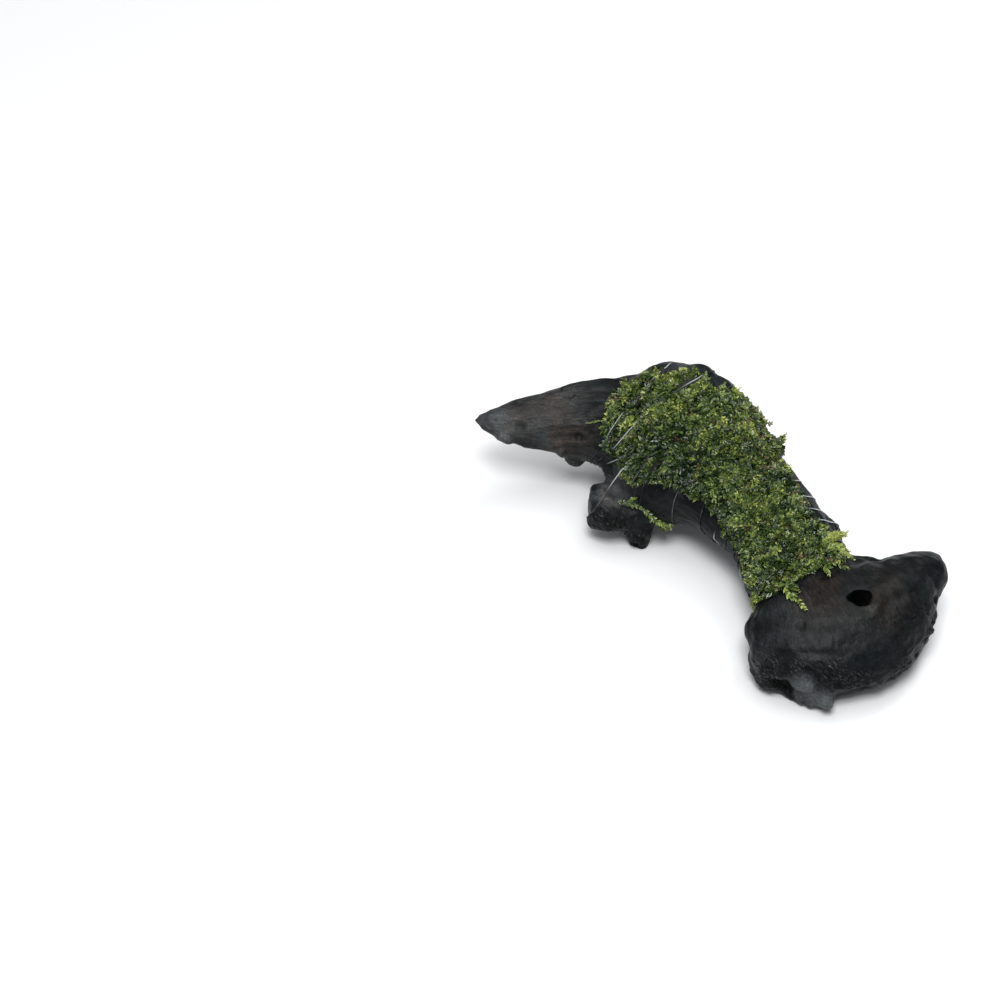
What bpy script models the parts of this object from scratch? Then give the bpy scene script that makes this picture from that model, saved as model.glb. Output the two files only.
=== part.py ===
"""Aquarium moss tied to a piece of driftwood with a thin nylon line.

The wood is one grown root: a pointed arm, a broad shoulder with a short side stub, a neck, and a
flared knob with an old hole in it. It stands on its knob, on the stub's peg and on a heel under the
shoulder. The moss lies on the shoulder and the neck, and one line is wound round both of them.
+X runs from the arm's side to the knob's side, +Y to the back, +Z up. The lengths below are in
millimetres, and the meshes are made in metres.
"""

import math

import bmesh
import bpy
import numpy as np
from mathutils import Euler, Matrix, Vector, noise
from mathutils.bvhtree import BVHTree

MM = 0.001

# ---------------------------------------------------------------- driving dimensions
FIT_GAP = 0.3  # between two solids that touch
VOXEL = 1.2  # of the fused wood, before it is thinned out
SMOOTH_ROUNDS = 7
WOOD_TRIANGLES = 4200
RING_POINTS = 24
STEPS_PER_SECTION = 5
UNDERSIDE = 0.86  # the lower half of a limb is this much flatter than the upper half
STAND_MIDDLE = (-2.9, -4.8, 0.0)  # the middle of the whole piece, on the ground: it becomes the origin

# Sections of a limb: centre x, y, z, half width, half height, tilt in degrees (back edge up).
MAIN_LIMB = [
    (-70.4, 34.9, 24.2, 0.7, 0.6, 30),
    (-63.5, 34.5, 23.1, 5.5, 2.9, 32),
    (-55.0, 35.5, 22.7, 8.2, 4.6, 34),
    (-46.0, 36.0, 22.7, 10.1, 6.0, 34),
    (-37.0, 36.8, 22.7, 12.0, 8.0, 30),
    (-27.0, 35.0, 22.0, 16.0, 10.5, 24),
    (-16.0, 30.5, 22.0, 22.5, 13.5, 20),
    (-6.0, 21.0, 20.5, 22.0, 14.0, 19),
    (4.5, 11.0, 18.5, 18.0, 12.5, 15),
    (12.5, 1.5, 16.5, 15.8, 12.0, 10),
    (18.6, -8.4, 14.6, 15.4, 11.0, 8),
    (22.2, -18.8, 13.7, 15.8, 10.7, 8),
    (27.0, -29.0, 12.5, 17.0, 10.5, 8),
    (32.0, -40.0, 12.0, 12.0, 8.5, 8),
]
STUB = [
    (-12.0, 24.0, 15.0, 10.0, 9.0, 0),
    (-20.0, 17.0, 12.0, 10.5, 8.0, 0),
    (-26.5, 13.5, 10.5, 9.5, 7.0, 0),
    (-33.0, 12.0, 10.0, 8.2, 6.2, 0),
    (-37.5, 11.5, 10.0, 5.5, 5.0, 0),
]
HEEL = [
    (-10.0, 28.0, 18.0, 9.0, 9.5, 0),
    (-7.5, 31.5, 11.0, 6.2, 7.5, 0),
    (-6.6, 34.3, 6.0, 4.4, 5.2, 0),
    (-5.4, 35.2, 2.5, 4.3, 6.0, 0),
    (-5.6, 36.2, -1.5, 3.2, 4.6, 0),
]
KNOB = [
    (7.0, -38.5, 8.5, 4.5, 4.5, 5),
    (10.0, -39.0, 9.5, 10.5, 8.5, 15),
    (17.0, -41.0, 11.0, 16.0, 11.0, 16),
    (28.0, -40.5, 12.0, 19.0, 12.0, 16),
    (39.0, -36.5, 12.5, 18.5, 12.5, 16),
    (48.0, -29.3, 13.6, 14.2, 12.0, 16),
    (54.8, -22.8, 15.5, 9.0, 9.4, 12),
    (60.1, -21.0, 16.3, 7.2, 6.8, 5),
    (63.3, -20.6, 16.3, 4.0, 4.0, 5),
]
LIMBS = (MAIN_LIMB, STUB, HEEL, KNOB)
# Lumps grown on the wood: centre x, y, z, then the half lengths, then a turn about Z in degrees.
LUMPS = {
    "ridge_hump": ((-10.5, 39.4, 32.0), (12.5, 6.5, 9.4), -18),
    "ridge_peak": ((-4.5, 41.2, 34.8), (4.5, 4.0, 5.2), -30),
    "ridge_flank": ((1.2, 36.8, 30.0), (6.0, 6.0, 7.5), -40),
    "arm_knuckle": ((-41.0, 31.0, 14.0), (4.0, 3.0, 5.0), 0),
    "stub_corner": ((-34.2, 14.2, 12.6), (3.4, 4.2, 5.0), 20),
    "stub_peg": ((-22.5, 7.5, 4.5), (3.6, 4.0, 7.0), 0),
    "trunk_belly": ((-11.0, 11.0, 13.0), (10.0, 8.0, 6.0), -25),
    "neck_swelling": ((28.2, -5.2, 15.0), (7.0, 8.0, 7.0), 30),
    "neck_fillet": ((40.8, -20.2, 16.2), (6.2, 5.2, 5.2), 0),
    "knob_left_root": ((13.0, -48.0, 5.5), (6.0, 5.0, 6.5), 30),
    "knob_toe": ((26.2, -54.4, 4.0), (3.0, 6.3, 5.0), 20),
    "knob_toe_ridge": ((20.0, -51.5, 5.0), (5.5, 5.5, 6.0), 0),
    "knob_right_root": ((43.5, -41.5, 5.5), (8.5, 7.0, 7.0), 35),
}
# Hollows pressed into the wood: centre x, y, z, radius, depth.
DENTS = {
    "knob_recess": ((17.5, -56.5, 6.5), 7.0, 4.0),
    "arm_knot": ((-40.0, 28.0, 23.5), 3.5, 1.2),
    "stub_top": ((-28.0, 12.0, 17.0), 5.0, 1.2),
    "shoulder_front": ((-8.0, 1.0, 12.0), 11.0, 2.2),
    "neck_left": ((2.0, -8.0, 9.0), 9.0, 2.0),
    "knob_top": ((39.0, -29.5, 25.0), 4.0, 0.8),
}
# The weathered relief: long ridges that run with the grain, and knots and pits.
RIDGE_HEIGHT = 0.6
RIDGE_LEVEL = 0.6  # how far a crest rises, against 2 for the whole way down to a furrow
RIDGE_LENGTH = 20.0
RIDGE_WIDTH = 4.2
PIT_HEIGHT = 0.35
PIT_SIZE = 5.0
LIMB_BLEND = 5.0  # how fast one limb's ridges give way to another's

HOLE = {"centre": (36.5, -37.0, 24.0), "depth": 9.0, "top": (2.8, 2.4), "bottom": 1.4, "tilt": (22, 0)}

# The forks, in plan: cuts a fit gap wide run from the notch between the arm and the stub.
NOTCH = (-31.5, 21.8)
FORK_HEIGHTS = (-6.0, 60.0)  # from below the ground to above the wood
TRUNK_SIDE = -16.5  # a piece whose middle is on this x or further is the trunk
CRUMB = 2.0  # a loose piece smaller than a cube of this size is dust from a cut
FORK_CUTS = (
    (NOTCH, (-28.0, 56.0)),
    (NOTCH, (-46.0, 20.5)),
    (NOTCH, (-13.0, 6.5)),
    ((-13.0, 6.5), (-14.5, -8.0)),
)

# A place on the main limb is a station, counted in its sections, and an angle round it: 0 is the
# back, 90 the top and 180 the front.
MOSS_DEPTH = 3.0
MOSS_RIM = 4.0  # the mat thins out over this width
MOSS_RIM_SHARE = 0.45  # of its depth, at the rim
MOSS_LUMP = 0.15  # lumps of this share of its depth
MOSS_LUMP_SIZE = 7.0
MOSS_ROOT = 1.5  # the sheet starts this far inside the wood, before the wood is cut away
MOSS_COLUMNS = 30
MOSS_ROWS = 13
MOSS_EDGES = [  # station, angle of the front edge, angle of the back edge
    (4.50, 155, 100),
    (4.70, 174, 82),
    (5.00, 174, 71),
    (5.40, 178, 66),
    (5.80, 178, 63),
    (6.20, 177, 60),
    (6.50, 176, 52),
    (6.80, 176, 36),
    (7.05, 161, 22),
    (7.60, 160, 20),
    (7.95, 155, 18),
    (8.20, 156, 24),
    (8.45, 158, 46),
    (8.60, 159, 49),
    (9.15, 162, 54),
    (9.70, 171, 53),
    (10.15, 169, 57),
    (10.50, 167, 50),
    (10.80, 173, 38),
    (11.05, 177, 36),
    (11.40, 169, 42),
    (11.65, 160, 50),
]

LINE_RADIUS = 0.15
LINE_START = 60  # angle of the first point
LINE_END = 14 * 360 + 200
LINE_STEPS = 60  # a turn, before the line is pulled taut
LINE_CLEAR = LINE_RADIUS + 0.8 * FIT_GAP  # the least way from the line's middle to what it lies on
CLEAR_STEP = 0.6  # between two places where a run of line is tested
WIDENINGS = 12  # rounds that lift the line where the wood juts out between two of its points
PULLS = 12  # rounds that draw it in again
PULL_SHARE = 0.12
LONGEST_RUN = 20  # steps of the line that one straight run may pass by
SIDE_LOOK = 85  # degrees to either side, where wood or moss can hold the taut line out
LOOK_STEP = 5
# Stations of each turn of the line: at the back, over the top, down the front, and twice below.
LINE_ANGLES = (45, 135, 200, 228, 300)
LINE_TURNS = [
    (5.95, 4.85, 4.20, 4.30, 5.20),
    (6.25, 5.50, 4.38, 4.45, 5.40),
    (6.60, 6.15, 4.55, 4.62, 5.60),
    (6.85, 6.42, 4.76, 4.80, 5.85),
    (7.10, 6.62, 6.76, 6.45, 7.02),
    (7.35, 6.80, 7.00, 6.72, 7.22),
    (7.70, 7.40, 7.53, 7.42, 7.48),
    (8.05, 7.95, 8.35, 8.25, 8.15),
    (8.42, 8.50, 8.90, 8.85, 8.80),
    (8.98, 8.98, 9.28, 9.28, 9.28),
    (9.44, 9.42, 9.75, 9.75, 9.80),
    (9.80, 9.72, 10.05, 10.10, 9.95),
    (10.12, 10.24, 10.42, 10.45, 10.50),
    (10.60, 10.72, 10.90, 10.95, 11.00),
    (11.05, 11.15, 11.38, 11.42, 11.45),
]
NOTCH_TURNS = 3  # the first turns pass through the notch, between the arm and the stub
NOTCH_ANGLES = (178, 242)
NOTCH_REACH = 14.5
FAR = 70.0  # outside all of the wood, from a limb's middle

GROUND_SIZE = (300.0, 300.0, 50.0)
SHARP_ANGLE = 50
# Linear colour and roughness.
PAINTS = {
    "driftwood": ((0.028, 0.025, 0.023), 0.55),
    "moss": ((0.06, 0.12, 0.02), 0.6),
    "nylon": ((0.72, 0.76, 0.76), 0.2),
}


def clear_scene():
    for obj in list(bpy.data.objects):
        bpy.data.objects.remove(obj, do_unlink=True)


def in_collection(name):
    group = bpy.data.collections.new(name)
    bpy.context.scene.collection.children.link(group)
    return group


def object_from(name, mesh, group):
    """A new object that holds a bmesh."""
    bmesh.ops.recalc_face_normals(mesh, faces=mesh.faces)
    data = bpy.data.meshes.new(name)
    mesh.to_mesh(data)
    mesh.free()
    obj = bpy.data.objects.new(name, data)
    group.objects.link(obj)
    return obj


def apply_modifiers(obj):
    """Gives the object the mesh that its modifiers leave."""
    bpy.context.view_layer.update()
    graph = bpy.context.evaluated_depsgraph_get()
    data = bpy.data.meshes.new_from_object(obj.evaluated_get(graph))
    obj.modifiers.clear()
    obj.data = data


def cut(obj, cutters):
    """Cuts the object by each of the cutters, and removes them."""
    for cutter in cutters:
        boolean = obj.modifiers.new("cut", "BOOLEAN")
        boolean.operation = "DIFFERENCE"
        boolean.object = cutter
    apply_modifiers(obj)
    for cutter in cutters:
        bpy.data.objects.remove(cutter, do_unlink=True)


def box_cutter(name, place, group):
    """A cutter: a unit cube put in place by a matrix."""
    mesh = bmesh.new()
    bmesh.ops.create_cube(mesh, size=1, matrix=place)
    cutter = object_from(name, mesh, group)
    cutter.hide_render = True
    cutter.display_type = "WIRE"
    return cutter


def catmull_rom(rows, steps):
    """Rows between the given ones, on a smooth curve through them."""
    rows = np.array(rows, float)
    padded = np.vstack([2 * rows[0] - rows[1], rows, 2 * rows[-1] - rows[-2]])
    made = []
    for i in range(len(rows) - 1):
        a, b, c, d = padded[i : i + 4]
        for t in np.arange(steps) / steps:
            cubic = 3 * b - a - 3 * c + d
            made.append(0.5 * (2 * b + (c - a) * t + (2 * a - 5 * b + 4 * c - d) * t**2 + cubic * t**3))
    made.append(rows[-1])
    return np.array(made)


# ---------------------------------------------------------------- the limbs' own directions
class Spine:
    """The middle line of a limb, with its directions along, to the side and up at each step."""

    STEPS = 20

    def __init__(self, sections):
        rows = catmull_rom(sections, self.STEPS)
        self.centre = rows[:, :3]
        self.size = np.sqrt(rows[:, 3] * rows[:, 4])
        self.along = np.gradient(self.centre, axis=0)
        self.along /= np.linalg.norm(self.along, axis=1)[:, None]
        self.side = np.cross((0, 0, 1), self.along)
        self.side /= np.linalg.norm(self.side, axis=1)[:, None]
        self.up = np.cross(self.along, self.side)
        steps = np.linalg.norm(np.diff(self.centre, axis=0), axis=1)
        self.run = np.concatenate([[0], np.cumsum(steps)])

    def at(self, station):
        """The centre and the directions at a station."""
        place = station * self.STEPS
        found = []
        for rows in (self.centre, self.along, self.side, self.up):
            found.append(Vector([np.interp(place, range(len(rows)), column) for column in rows.T]))
        return found

    def ray(self, station, angle):
        """The centre at a station, and the direction at an angle round it."""
        centre, _, side, up = self.at(station)
        turn = math.radians(angle)
        return centre, (side * math.cos(turn) + up * math.sin(turn)).normalized()

    def grain(self, points):
        """Each point's place along and across the limb, and how far outside the limb it is."""
        gaps = np.linalg.norm(points[:, None, :] - self.centre[None, ::4, :], axis=2)
        nearest = gaps.argmin(axis=1) * 4
        offset = points - self.centre[nearest]
        places = np.column_stack(
            [
                self.run[nearest] + np.einsum("ij,ij->i", offset, self.along[nearest]),
                np.einsum("ij,ij->i", offset, self.side[nearest]),
                np.einsum("ij,ij->i", offset, self.up[nearest]),
            ]
        )
        return places, gaps.min(axis=1) / self.size[nearest]


# ---------------------------------------------------------------- the wood
def loft(mesh, sections):
    """Adds a limb: an oval ring at each section, across the limb's own way, skinned from end to end."""
    rows = catmull_rom(sections, STEPS_PER_SECTION)
    tangents = np.gradient(rows[:, :3], axis=0)
    rings = []
    for row, tangent in zip(rows, tangents):
        along = Vector(tangent).normalized()
        side = Vector((0, 0, 1)).cross(along).normalized()
        up = along.cross(side)
        tilt = math.radians(row[5])
        wide = side * math.cos(tilt) + up * math.sin(tilt)
        tall = up * math.cos(tilt) - side * math.sin(tilt)
        ring = []
        for k in range(RING_POINTS):
            angle = math.tau * k / RING_POINTS
            lift = math.sin(angle) * (1 if math.sin(angle) > 0 else UNDERSIDE)
            point = Vector(row[:3]) + wide * (row[3] * math.cos(angle)) + tall * (row[4] * lift)
            ring.append(mesh.verts.new(point * MM))
        rings.append(ring)
    for one, two in zip(rings, rings[1:]):
        for k in range(RING_POINTS):
            n = (k + 1) % RING_POINTS
            mesh.faces.new((one[k], one[n], two[n], two[k]))
    mesh.faces.new(reversed(rings[0]))
    mesh.faces.new(rings[-1])


def add_lump(mesh, centre, radii, turn):
    """Adds an egg-shaped lump."""
    place = (
        Matrix.Translation(Vector(centre) * MM)
        @ Euler((0, 0, math.radians(turn))).to_matrix().to_4x4()
        @ Matrix.Diagonal((*(Vector(radii) * MM), 1))
    )
    bmesh.ops.create_icosphere(mesh, subdivisions=3, radius=1, matrix=place)


def fused_wood(group):
    """The limbs and lumps as one smooth body."""
    mesh = bmesh.new()
    for sections in LIMBS:
        loft(mesh, sections)
    for centre, radii, turn in LUMPS.values():
        add_lump(mesh, centre, radii, turn)
    wood = object_from("driftwood", mesh, group)
    fuse = wood.modifiers.new("fuse", "REMESH")
    fuse.mode = "VOXEL"
    fuse.voxel_size = VOXEL * MM
    smooth = wood.modifiers.new("smooth", "SMOOTH")
    smooth.factor = 0.5
    smooth.iterations = SMOOTH_ROUNDS
    apply_modifiers(wood)
    return wood


def relief(points):
    """Height of the weathered relief at each point: ridges along the grain, with pits between them."""
    heights = np.zeros(len(points))
    weights = np.zeros(len(points))
    for spine in (Spine(sections) for sections in LIMBS):
        places, outside = spine.grain(points)
        weight = np.exp(-LIMB_BLEND * outside)
        stretch = np.array([RIDGE_LENGTH, RIDGE_WIDTH, RIDGE_WIDTH])
        ridges = np.array([noise.noise(Vector(place)) for place in places / stretch])
        heights += weight * RIDGE_HEIGHT * (RIDGE_LEVEL - 2 * np.abs(ridges))
        weights += weight
    pits = np.array([noise.noise(Vector(point)) for point in points / PIT_SIZE])
    return heights / weights + PIT_HEIGHT * pits


def weather(wood):
    """Raises the relief on the wood, and presses in its hollows."""
    data = wood.data
    points = np.array([vertex.co for vertex in data.vertices]) / MM
    normals = np.array([vertex.normal for vertex in data.vertices])
    push = relief(points)
    for centre, radius, depth in DENTS.values():
        near = np.clip(1 - (np.linalg.norm(points - centre, axis=1) / radius) ** 2, 0, 1)
        push -= depth * near**2
    points += normals * push[:, None]
    data.vertices.foreach_set("co", (points * MM).ravel())
    data.update()
    thin = wood.modifiers.new("thin out", "DECIMATE")
    thin.ratio = WOOD_TRIANGLES / (2 * len(data.polygons))
    thin.use_collapse_triangulate = True
    apply_modifiers(wood)


def hole_cutter(group):
    """A tapered oval plug, for the old hole in the knob."""
    mesh = bmesh.new()
    tilt = Euler([math.radians(angle) for angle in (*HOLE["tilt"], 0)]).to_matrix().to_4x4()
    wide, tall = HOLE["top"]
    size = Matrix.Diagonal((MM, MM * tall / wide, MM, 1))
    place = Matrix.Translation(Vector(HOLE["centre"]) * MM) @ tilt @ size
    bmesh.ops.create_cone(
        mesh,
        cap_ends=True,
        segments=12,
        radius1=HOLE["bottom"],
        radius2=wide + (wide - HOLE["bottom"]),
        depth=2 * HOLE["depth"],
        matrix=place,
    )
    cutter = object_from("hole", mesh, group)
    cutter.hide_render = True
    cutter.display_type = "WIRE"
    return cutter


def ground_cutter(group):
    """All that would lie below the ground."""
    size = Vector(GROUND_SIZE) * MM
    place = Matrix.Translation((0, 0, -size.z / 2)) @ Matrix.Diagonal((*size, 1))
    return box_cutter("ground", place, group)


def fork_cutter(start, end, group):
    """An upright slab, a fit gap thick, that runs in plan from start to end."""
    run = Vector(end) - Vector(start)
    middle = (Vector(start) + Vector(end)) / 2
    low, high = FORK_HEIGHTS
    place = (
        Matrix.Translation(Vector((*middle, (low + high) / 2)) * MM)
        @ Euler((0, 0, math.atan2(run.y, run.x))).to_matrix().to_4x4()
        @ Matrix.Diagonal(((run.length + FIT_GAP) * MM, FIT_GAP * MM, (high - low) * MM, 1))
    )
    return box_cutter("fork", place, group)


def loose_pieces(obj):
    """The separate bodies of an object, as bmeshes."""
    whole = bmesh.new()
    whole.from_mesh(obj.data)
    waiting = set(whole.verts)
    pieces = []
    while waiting:
        reached = [waiting.pop()]
        body = set(reached)
        while reached:
            vertex = reached.pop()
            for edge in vertex.link_edges:
                other = edge.other_vert(vertex)
                if other in waiting:
                    waiting.remove(other)
                    body.add(other)
                    reached.append(other)
        piece = whole.copy()
        keep = {vertex.index for vertex in body}
        piece.verts.ensure_lookup_table()
        bmesh.ops.delete(piece, geom=[v for v in piece.verts if v.index not in keep], context="VERTS")
        pieces.append(piece)
    whole.free()
    return pieces


def fork_pieces(wood, group):
    """Parts the wood at its forks into the trunk, the arm and the stub."""
    cut(wood, [fork_cutter(start, end, group) for start, end in FORK_CUTS])
    made = {}
    for piece in loose_pieces(wood):
        if piece.calc_volume() < (CRUMB * MM) ** 3:
            piece.free()
            continue
        middle = sum((vertex.co for vertex in piece.verts), Vector()) / len(piece.verts) / MM
        if middle.x > TRUNK_SIDE:
            name = "driftwood_trunk"
        elif middle.y > NOTCH[1]:
            name = "driftwood_arm"
        else:
            name = "driftwood_stub"
        made[name] = object_from(name, piece, group)
    bpy.data.objects.remove(wood, do_unlink=True)
    return made


# ---------------------------------------------------------------- the moss
def surface(tree, centre, direction, reach=FAR):
    """Where a ray that comes in towards the centre first meets the surface, in millimetres."""
    start = (centre + direction * reach) * MM
    hit = tree.ray_cast(start, -direction)
    return hit[0] / MM if hit[0] else None


def moss_edges(station):
    table = np.array(MOSS_EDGES)
    return [np.interp(station, table[:, 0], table[:, column]) for column in (1, 2)]


def moss_mat(tree, spine, bed, group):
    """A mat that follows the wood: a sheet of points on it, raised by the mat's depth, with closed sides."""
    stations = np.linspace(MOSS_EDGES[0][0], MOSS_EDGES[-1][0], MOSS_COLUMNS)
    on_wood = np.zeros((MOSS_COLUMNS, MOSS_ROWS, 3))
    outward = np.zeros_like(on_wood)
    for i, station in enumerate(stations):
        front, back = moss_edges(station)
        for j, angle in enumerate(np.linspace(front, back, MOSS_ROWS)):
            centre, direction = spine.ray(station, angle)
            on_wood[i, j] = surface(tree, centre, direction)
            outward[i, j] = direction
    rim = np.concatenate([on_wood[0], on_wood[-1], on_wood[:, 0], on_wood[:, -1]])
    mesh = bmesh.new()
    low, high = [], []
    for i in range(MOSS_COLUMNS):
        for j in range(MOSS_ROWS):
            point = on_wood[i, j]
            inset = min(1, np.linalg.norm(rim - point, axis=1).min() / MOSS_RIM)
            lump = 1 + MOSS_LUMP * noise.noise(Vector(point / MOSS_LUMP_SIZE))
            raised = MOSS_DEPTH * (MOSS_RIM_SHARE + (1 - MOSS_RIM_SHARE) * math.sqrt(inset)) * lump
            low.append(mesh.verts.new((point - outward[i, j] * MOSS_ROOT) * MM))
            high.append(mesh.verts.new((point + outward[i, j] * raised) * MM))

    def skin(one, two, run):
        for a, b in zip(run, run[1:]):
            mesh.faces.new((one[a], one[b], two[b], two[a]))

    columns = [list(range(i * MOSS_ROWS, (i + 1) * MOSS_ROWS)) for i in range(MOSS_COLUMNS)]
    for one, two in zip(columns, columns[1:]):
        for layer in (low, high):
            for j in range(MOSS_ROWS - 1):
                mesh.faces.new((layer[one[j]], layer[one[j + 1]], layer[two[j + 1]], layer[two[j]]))
    for column in (columns[0], columns[-1]):
        skin(low, high, column)
    for j in (0, -1):
        skin(low, high, [column[j] for column in columns])
    mat = object_from("moss_mat", mesh, group)
    cut(mat, [bed])
    return mat


def swollen_copy(wood, group):
    """The wood grown by the fit gap: what the moss keeps clear of."""
    bed = bpy.data.objects.new("bed", wood.data.copy())
    group.objects.link(bed)
    bed.hide_render = True
    bed.display_type = "WIRE"
    for vertex in bed.data.vertices:
        vertex.co += wood.data.vertices[vertex.index].normal * (FIT_GAP * MM)
    return bed


# ---------------------------------------------------------------- the line
def merged_tree(objects):
    """A search tree of the surfaces of several objects."""
    vertices, faces = [], []
    for obj in objects:
        first = len(vertices)
        vertices += [vertex.co.copy() for vertex in obj.data.vertices]
        faces += [[first + k for k in polygon.vertices] for polygon in obj.data.polygons]
    return BVHTree.FromPolygons(vertices, faces)


def taut_radius(tree, spine, station, angle, in_notch):
    """How far from the centre a taut loop round the section passes at an angle."""
    corners = []
    first, last = NOTCH_ANGLES
    for other in range(int(angle) - SIDE_LOOK, int(angle) + SIDE_LOOK + 1, LOOK_STEP):
        centre, direction = spine.ray(station, other)
        reach = NOTCH_REACH if in_notch and first < other % 360 < last else FAR
        point = surface(tree, centre, direction, reach)
        if point:
            turn = math.radians(other - angle)
            corners.append((point - centre).length * np.array([math.cos(turn), math.sin(turn)]))
    corners = np.array(corners)
    left = corners[corners[:, 1] <= 0]
    right = corners[corners[:, 1] >= 0]
    best = 0
    for a in left:
        for b in right:
            width = b[1] - a[1]
            cross = a[0] if width < 1e-9 else a[0] + (b[0] - a[0]) * -a[1] / width
            best = max(best, cross)
    return best


def is_clear(tree, start, end):
    """Whether a straight run of line keeps clear of all surfaces."""
    run = end - start
    count = max(2, int(run.length / CLEAR_STEP))
    for k in range(count + 1):
        near = tree.find_nearest((start + run * (k / count)) * MM)
        if near[3] < LINE_CLEAR * MM:
            return False
    return True


def line_route(tree, spine):
    """The line's windings, clear of all they lie on, before they are pulled straight."""
    knots = []
    for turn, stations in enumerate(LINE_TURNS):
        for angle, station in zip(LINE_ANGLES, stations):
            knots.append((angle + 360 * turn, station))
    knots = catmull_rom(knots, 8)
    rays, radii = [], []
    for angle in np.arange(LINE_START, LINE_END, 360 / LINE_STEPS):
        station = np.interp(angle, knots[:, 0], knots[:, 1])
        rays.append(spine.ray(station, angle))
        radii.append(taut_radius(tree, spine, station, angle, angle < 360 * NOTCH_TURNS))
        radii[-1] += LINE_RADIUS + 3 * FIT_GAP
    for _ in range(WIDENINGS):
        route = [centre + direction * radius for (centre, direction), radius in zip(rays, radii)]
        for k in range(len(route) - 1):
            if not is_clear(tree, route[k], route[k + 1]):
                radii[k] += FIT_GAP / 2
                radii[k + 1] += FIT_GAP / 2
    return route


def pulled_taut(tree, route):
    """Leaves out each point that the line can pass straight by, and draws the others inwards."""
    kept = [0]
    while kept[-1] < len(route) - 1:
        here = kept[-1]
        step = 1
        while here + step + 1 < len(route) and step < LONGEST_RUN:
            if not is_clear(tree, route[here], route[here + step + 1]):
                break
            step += 1
        kept.append(here + step)
    points = [route[k] for k in kept]
    for _ in range(PULLS):
        for k in range(1, len(points) - 1):
            before, here, after = points[k - 1 : k + 2]
            drawn = here.lerp((before + after) / 2, PULL_SHARE)
            if is_clear(tree, before, drawn) and is_clear(tree, drawn, after):
                points[k] = drawn
    return points


def nylon_line(tree, spine, group):
    points = pulled_taut(tree, line_route(tree, spine))
    data = bpy.data.curves.new("nylon_line", "CURVE")
    data.dimensions = "3D"
    spline = data.splines.new("POLY")
    spline.points.add(len(points) - 1)
    for row, point in zip(spline.points, points):
        row.co = (*(point * MM), 1)
    data.bevel_depth = LINE_RADIUS * MM
    data.bevel_resolution = 1
    data.use_fill_caps = True
    line = bpy.data.objects.new("nylon_line", data)
    group.objects.link(line)
    return line


# ---------------------------------------------------------------- finish
def paint(obj, name):
    colour, roughness = PAINTS[name]
    material = bpy.data.materials.get(name) or bpy.data.materials.new(name)
    material.use_nodes = True
    shader = material.node_tree.nodes["Principled BSDF"]
    shader.inputs["Base Color"].default_value = (*colour, 1)
    shader.inputs["Roughness"].default_value = roughness
    shader.inputs["Metallic"].default_value = 0
    obj.data.materials.clear()
    obj.data.materials.append(material)


def main():
    clear_scene()
    group = in_collection("Moss on driftwood")
    cutters = in_collection("Cutters")
    spine = Spine(MAIN_LIMB)

    wood = fused_wood(group)
    weather(wood)
    cut(wood, [ground_cutter(cutters), hole_cutter(cutters)])
    moss = moss_mat(merged_tree([wood]), spine, swollen_copy(wood, cutters), group)
    line = nylon_line(merged_tree([wood, moss]), spine, group)
    pieces = fork_pieces(wood, group)

    for piece in pieces.values():
        paint(piece, "driftwood")
    paint(moss, "moss")
    paint(line, "nylon")
    middle = Matrix.Translation(-Vector(STAND_MIDDLE) * MM)
    for obj in (*pieces.values(), moss):
        obj.data.transform(middle)
        obj.data.shade_smooth()
        obj.data.set_sharp_from_angle(angle=math.radians(SHARP_ANGLE))
    line.data.transform(middle)


main()
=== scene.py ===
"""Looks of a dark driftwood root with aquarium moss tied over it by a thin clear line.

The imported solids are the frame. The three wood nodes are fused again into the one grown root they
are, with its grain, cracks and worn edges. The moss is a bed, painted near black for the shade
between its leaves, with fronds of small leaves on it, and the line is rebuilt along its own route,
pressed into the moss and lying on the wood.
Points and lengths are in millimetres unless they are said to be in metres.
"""

import math

import bmesh
import bpy
import numpy as np
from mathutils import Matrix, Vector
from mathutils.bvhtree import BVHTree
from mathutils.kdtree import KDTree
from mathutils.noise import noise as noise_at


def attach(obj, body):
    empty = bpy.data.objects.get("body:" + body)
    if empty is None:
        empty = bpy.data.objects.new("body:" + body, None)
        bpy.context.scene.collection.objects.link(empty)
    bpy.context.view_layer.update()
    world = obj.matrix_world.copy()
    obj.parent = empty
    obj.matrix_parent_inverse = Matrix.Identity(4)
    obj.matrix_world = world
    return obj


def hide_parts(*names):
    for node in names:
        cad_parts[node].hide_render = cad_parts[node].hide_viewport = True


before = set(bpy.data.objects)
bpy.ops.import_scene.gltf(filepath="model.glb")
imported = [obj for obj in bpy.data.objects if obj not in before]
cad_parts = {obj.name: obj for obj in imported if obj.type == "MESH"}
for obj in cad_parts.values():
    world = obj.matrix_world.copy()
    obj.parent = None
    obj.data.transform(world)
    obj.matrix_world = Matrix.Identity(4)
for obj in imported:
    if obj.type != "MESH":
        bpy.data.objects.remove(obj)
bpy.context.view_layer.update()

MM = 0.001
WOOD_NODES = ("driftwood_trunk", "driftwood_arm", "driftwood_stub")

random = np.random.default_rng(11)


# ---- camera and light
CAMERA_PLACE = (-0.0607, -0.6061, 0.6364)  # in metres
CAMERA_PITCH = 45  # degrees from straight down
LENS, SENSOR = 108, 36
CLIP_START, CLIP_END = 0.01, 20  # in metres
AIM = (0, 0, 0.015)  # the middle of the object, in metres
SKY = (0.94, 0.965, 1.0, 1)
SKY_STRENGTH = 0.32
# Square softboxes: name, place and size in metres, and power in watts.
SOFTBOXES = (
    ("key", (-0.03, -0.36, 0.85), 0.32, 5.4),
    ("top", (-0.02, 0.06, 1.15), 1.1, 6.4),
    ("back", (0.34, 0.42, 0.85), 0.28, 1.9),
)


def add_object(name, data):
    obj = bpy.data.objects.new(name, data)
    bpy.context.scene.collection.objects.link(obj)
    return obj


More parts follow.
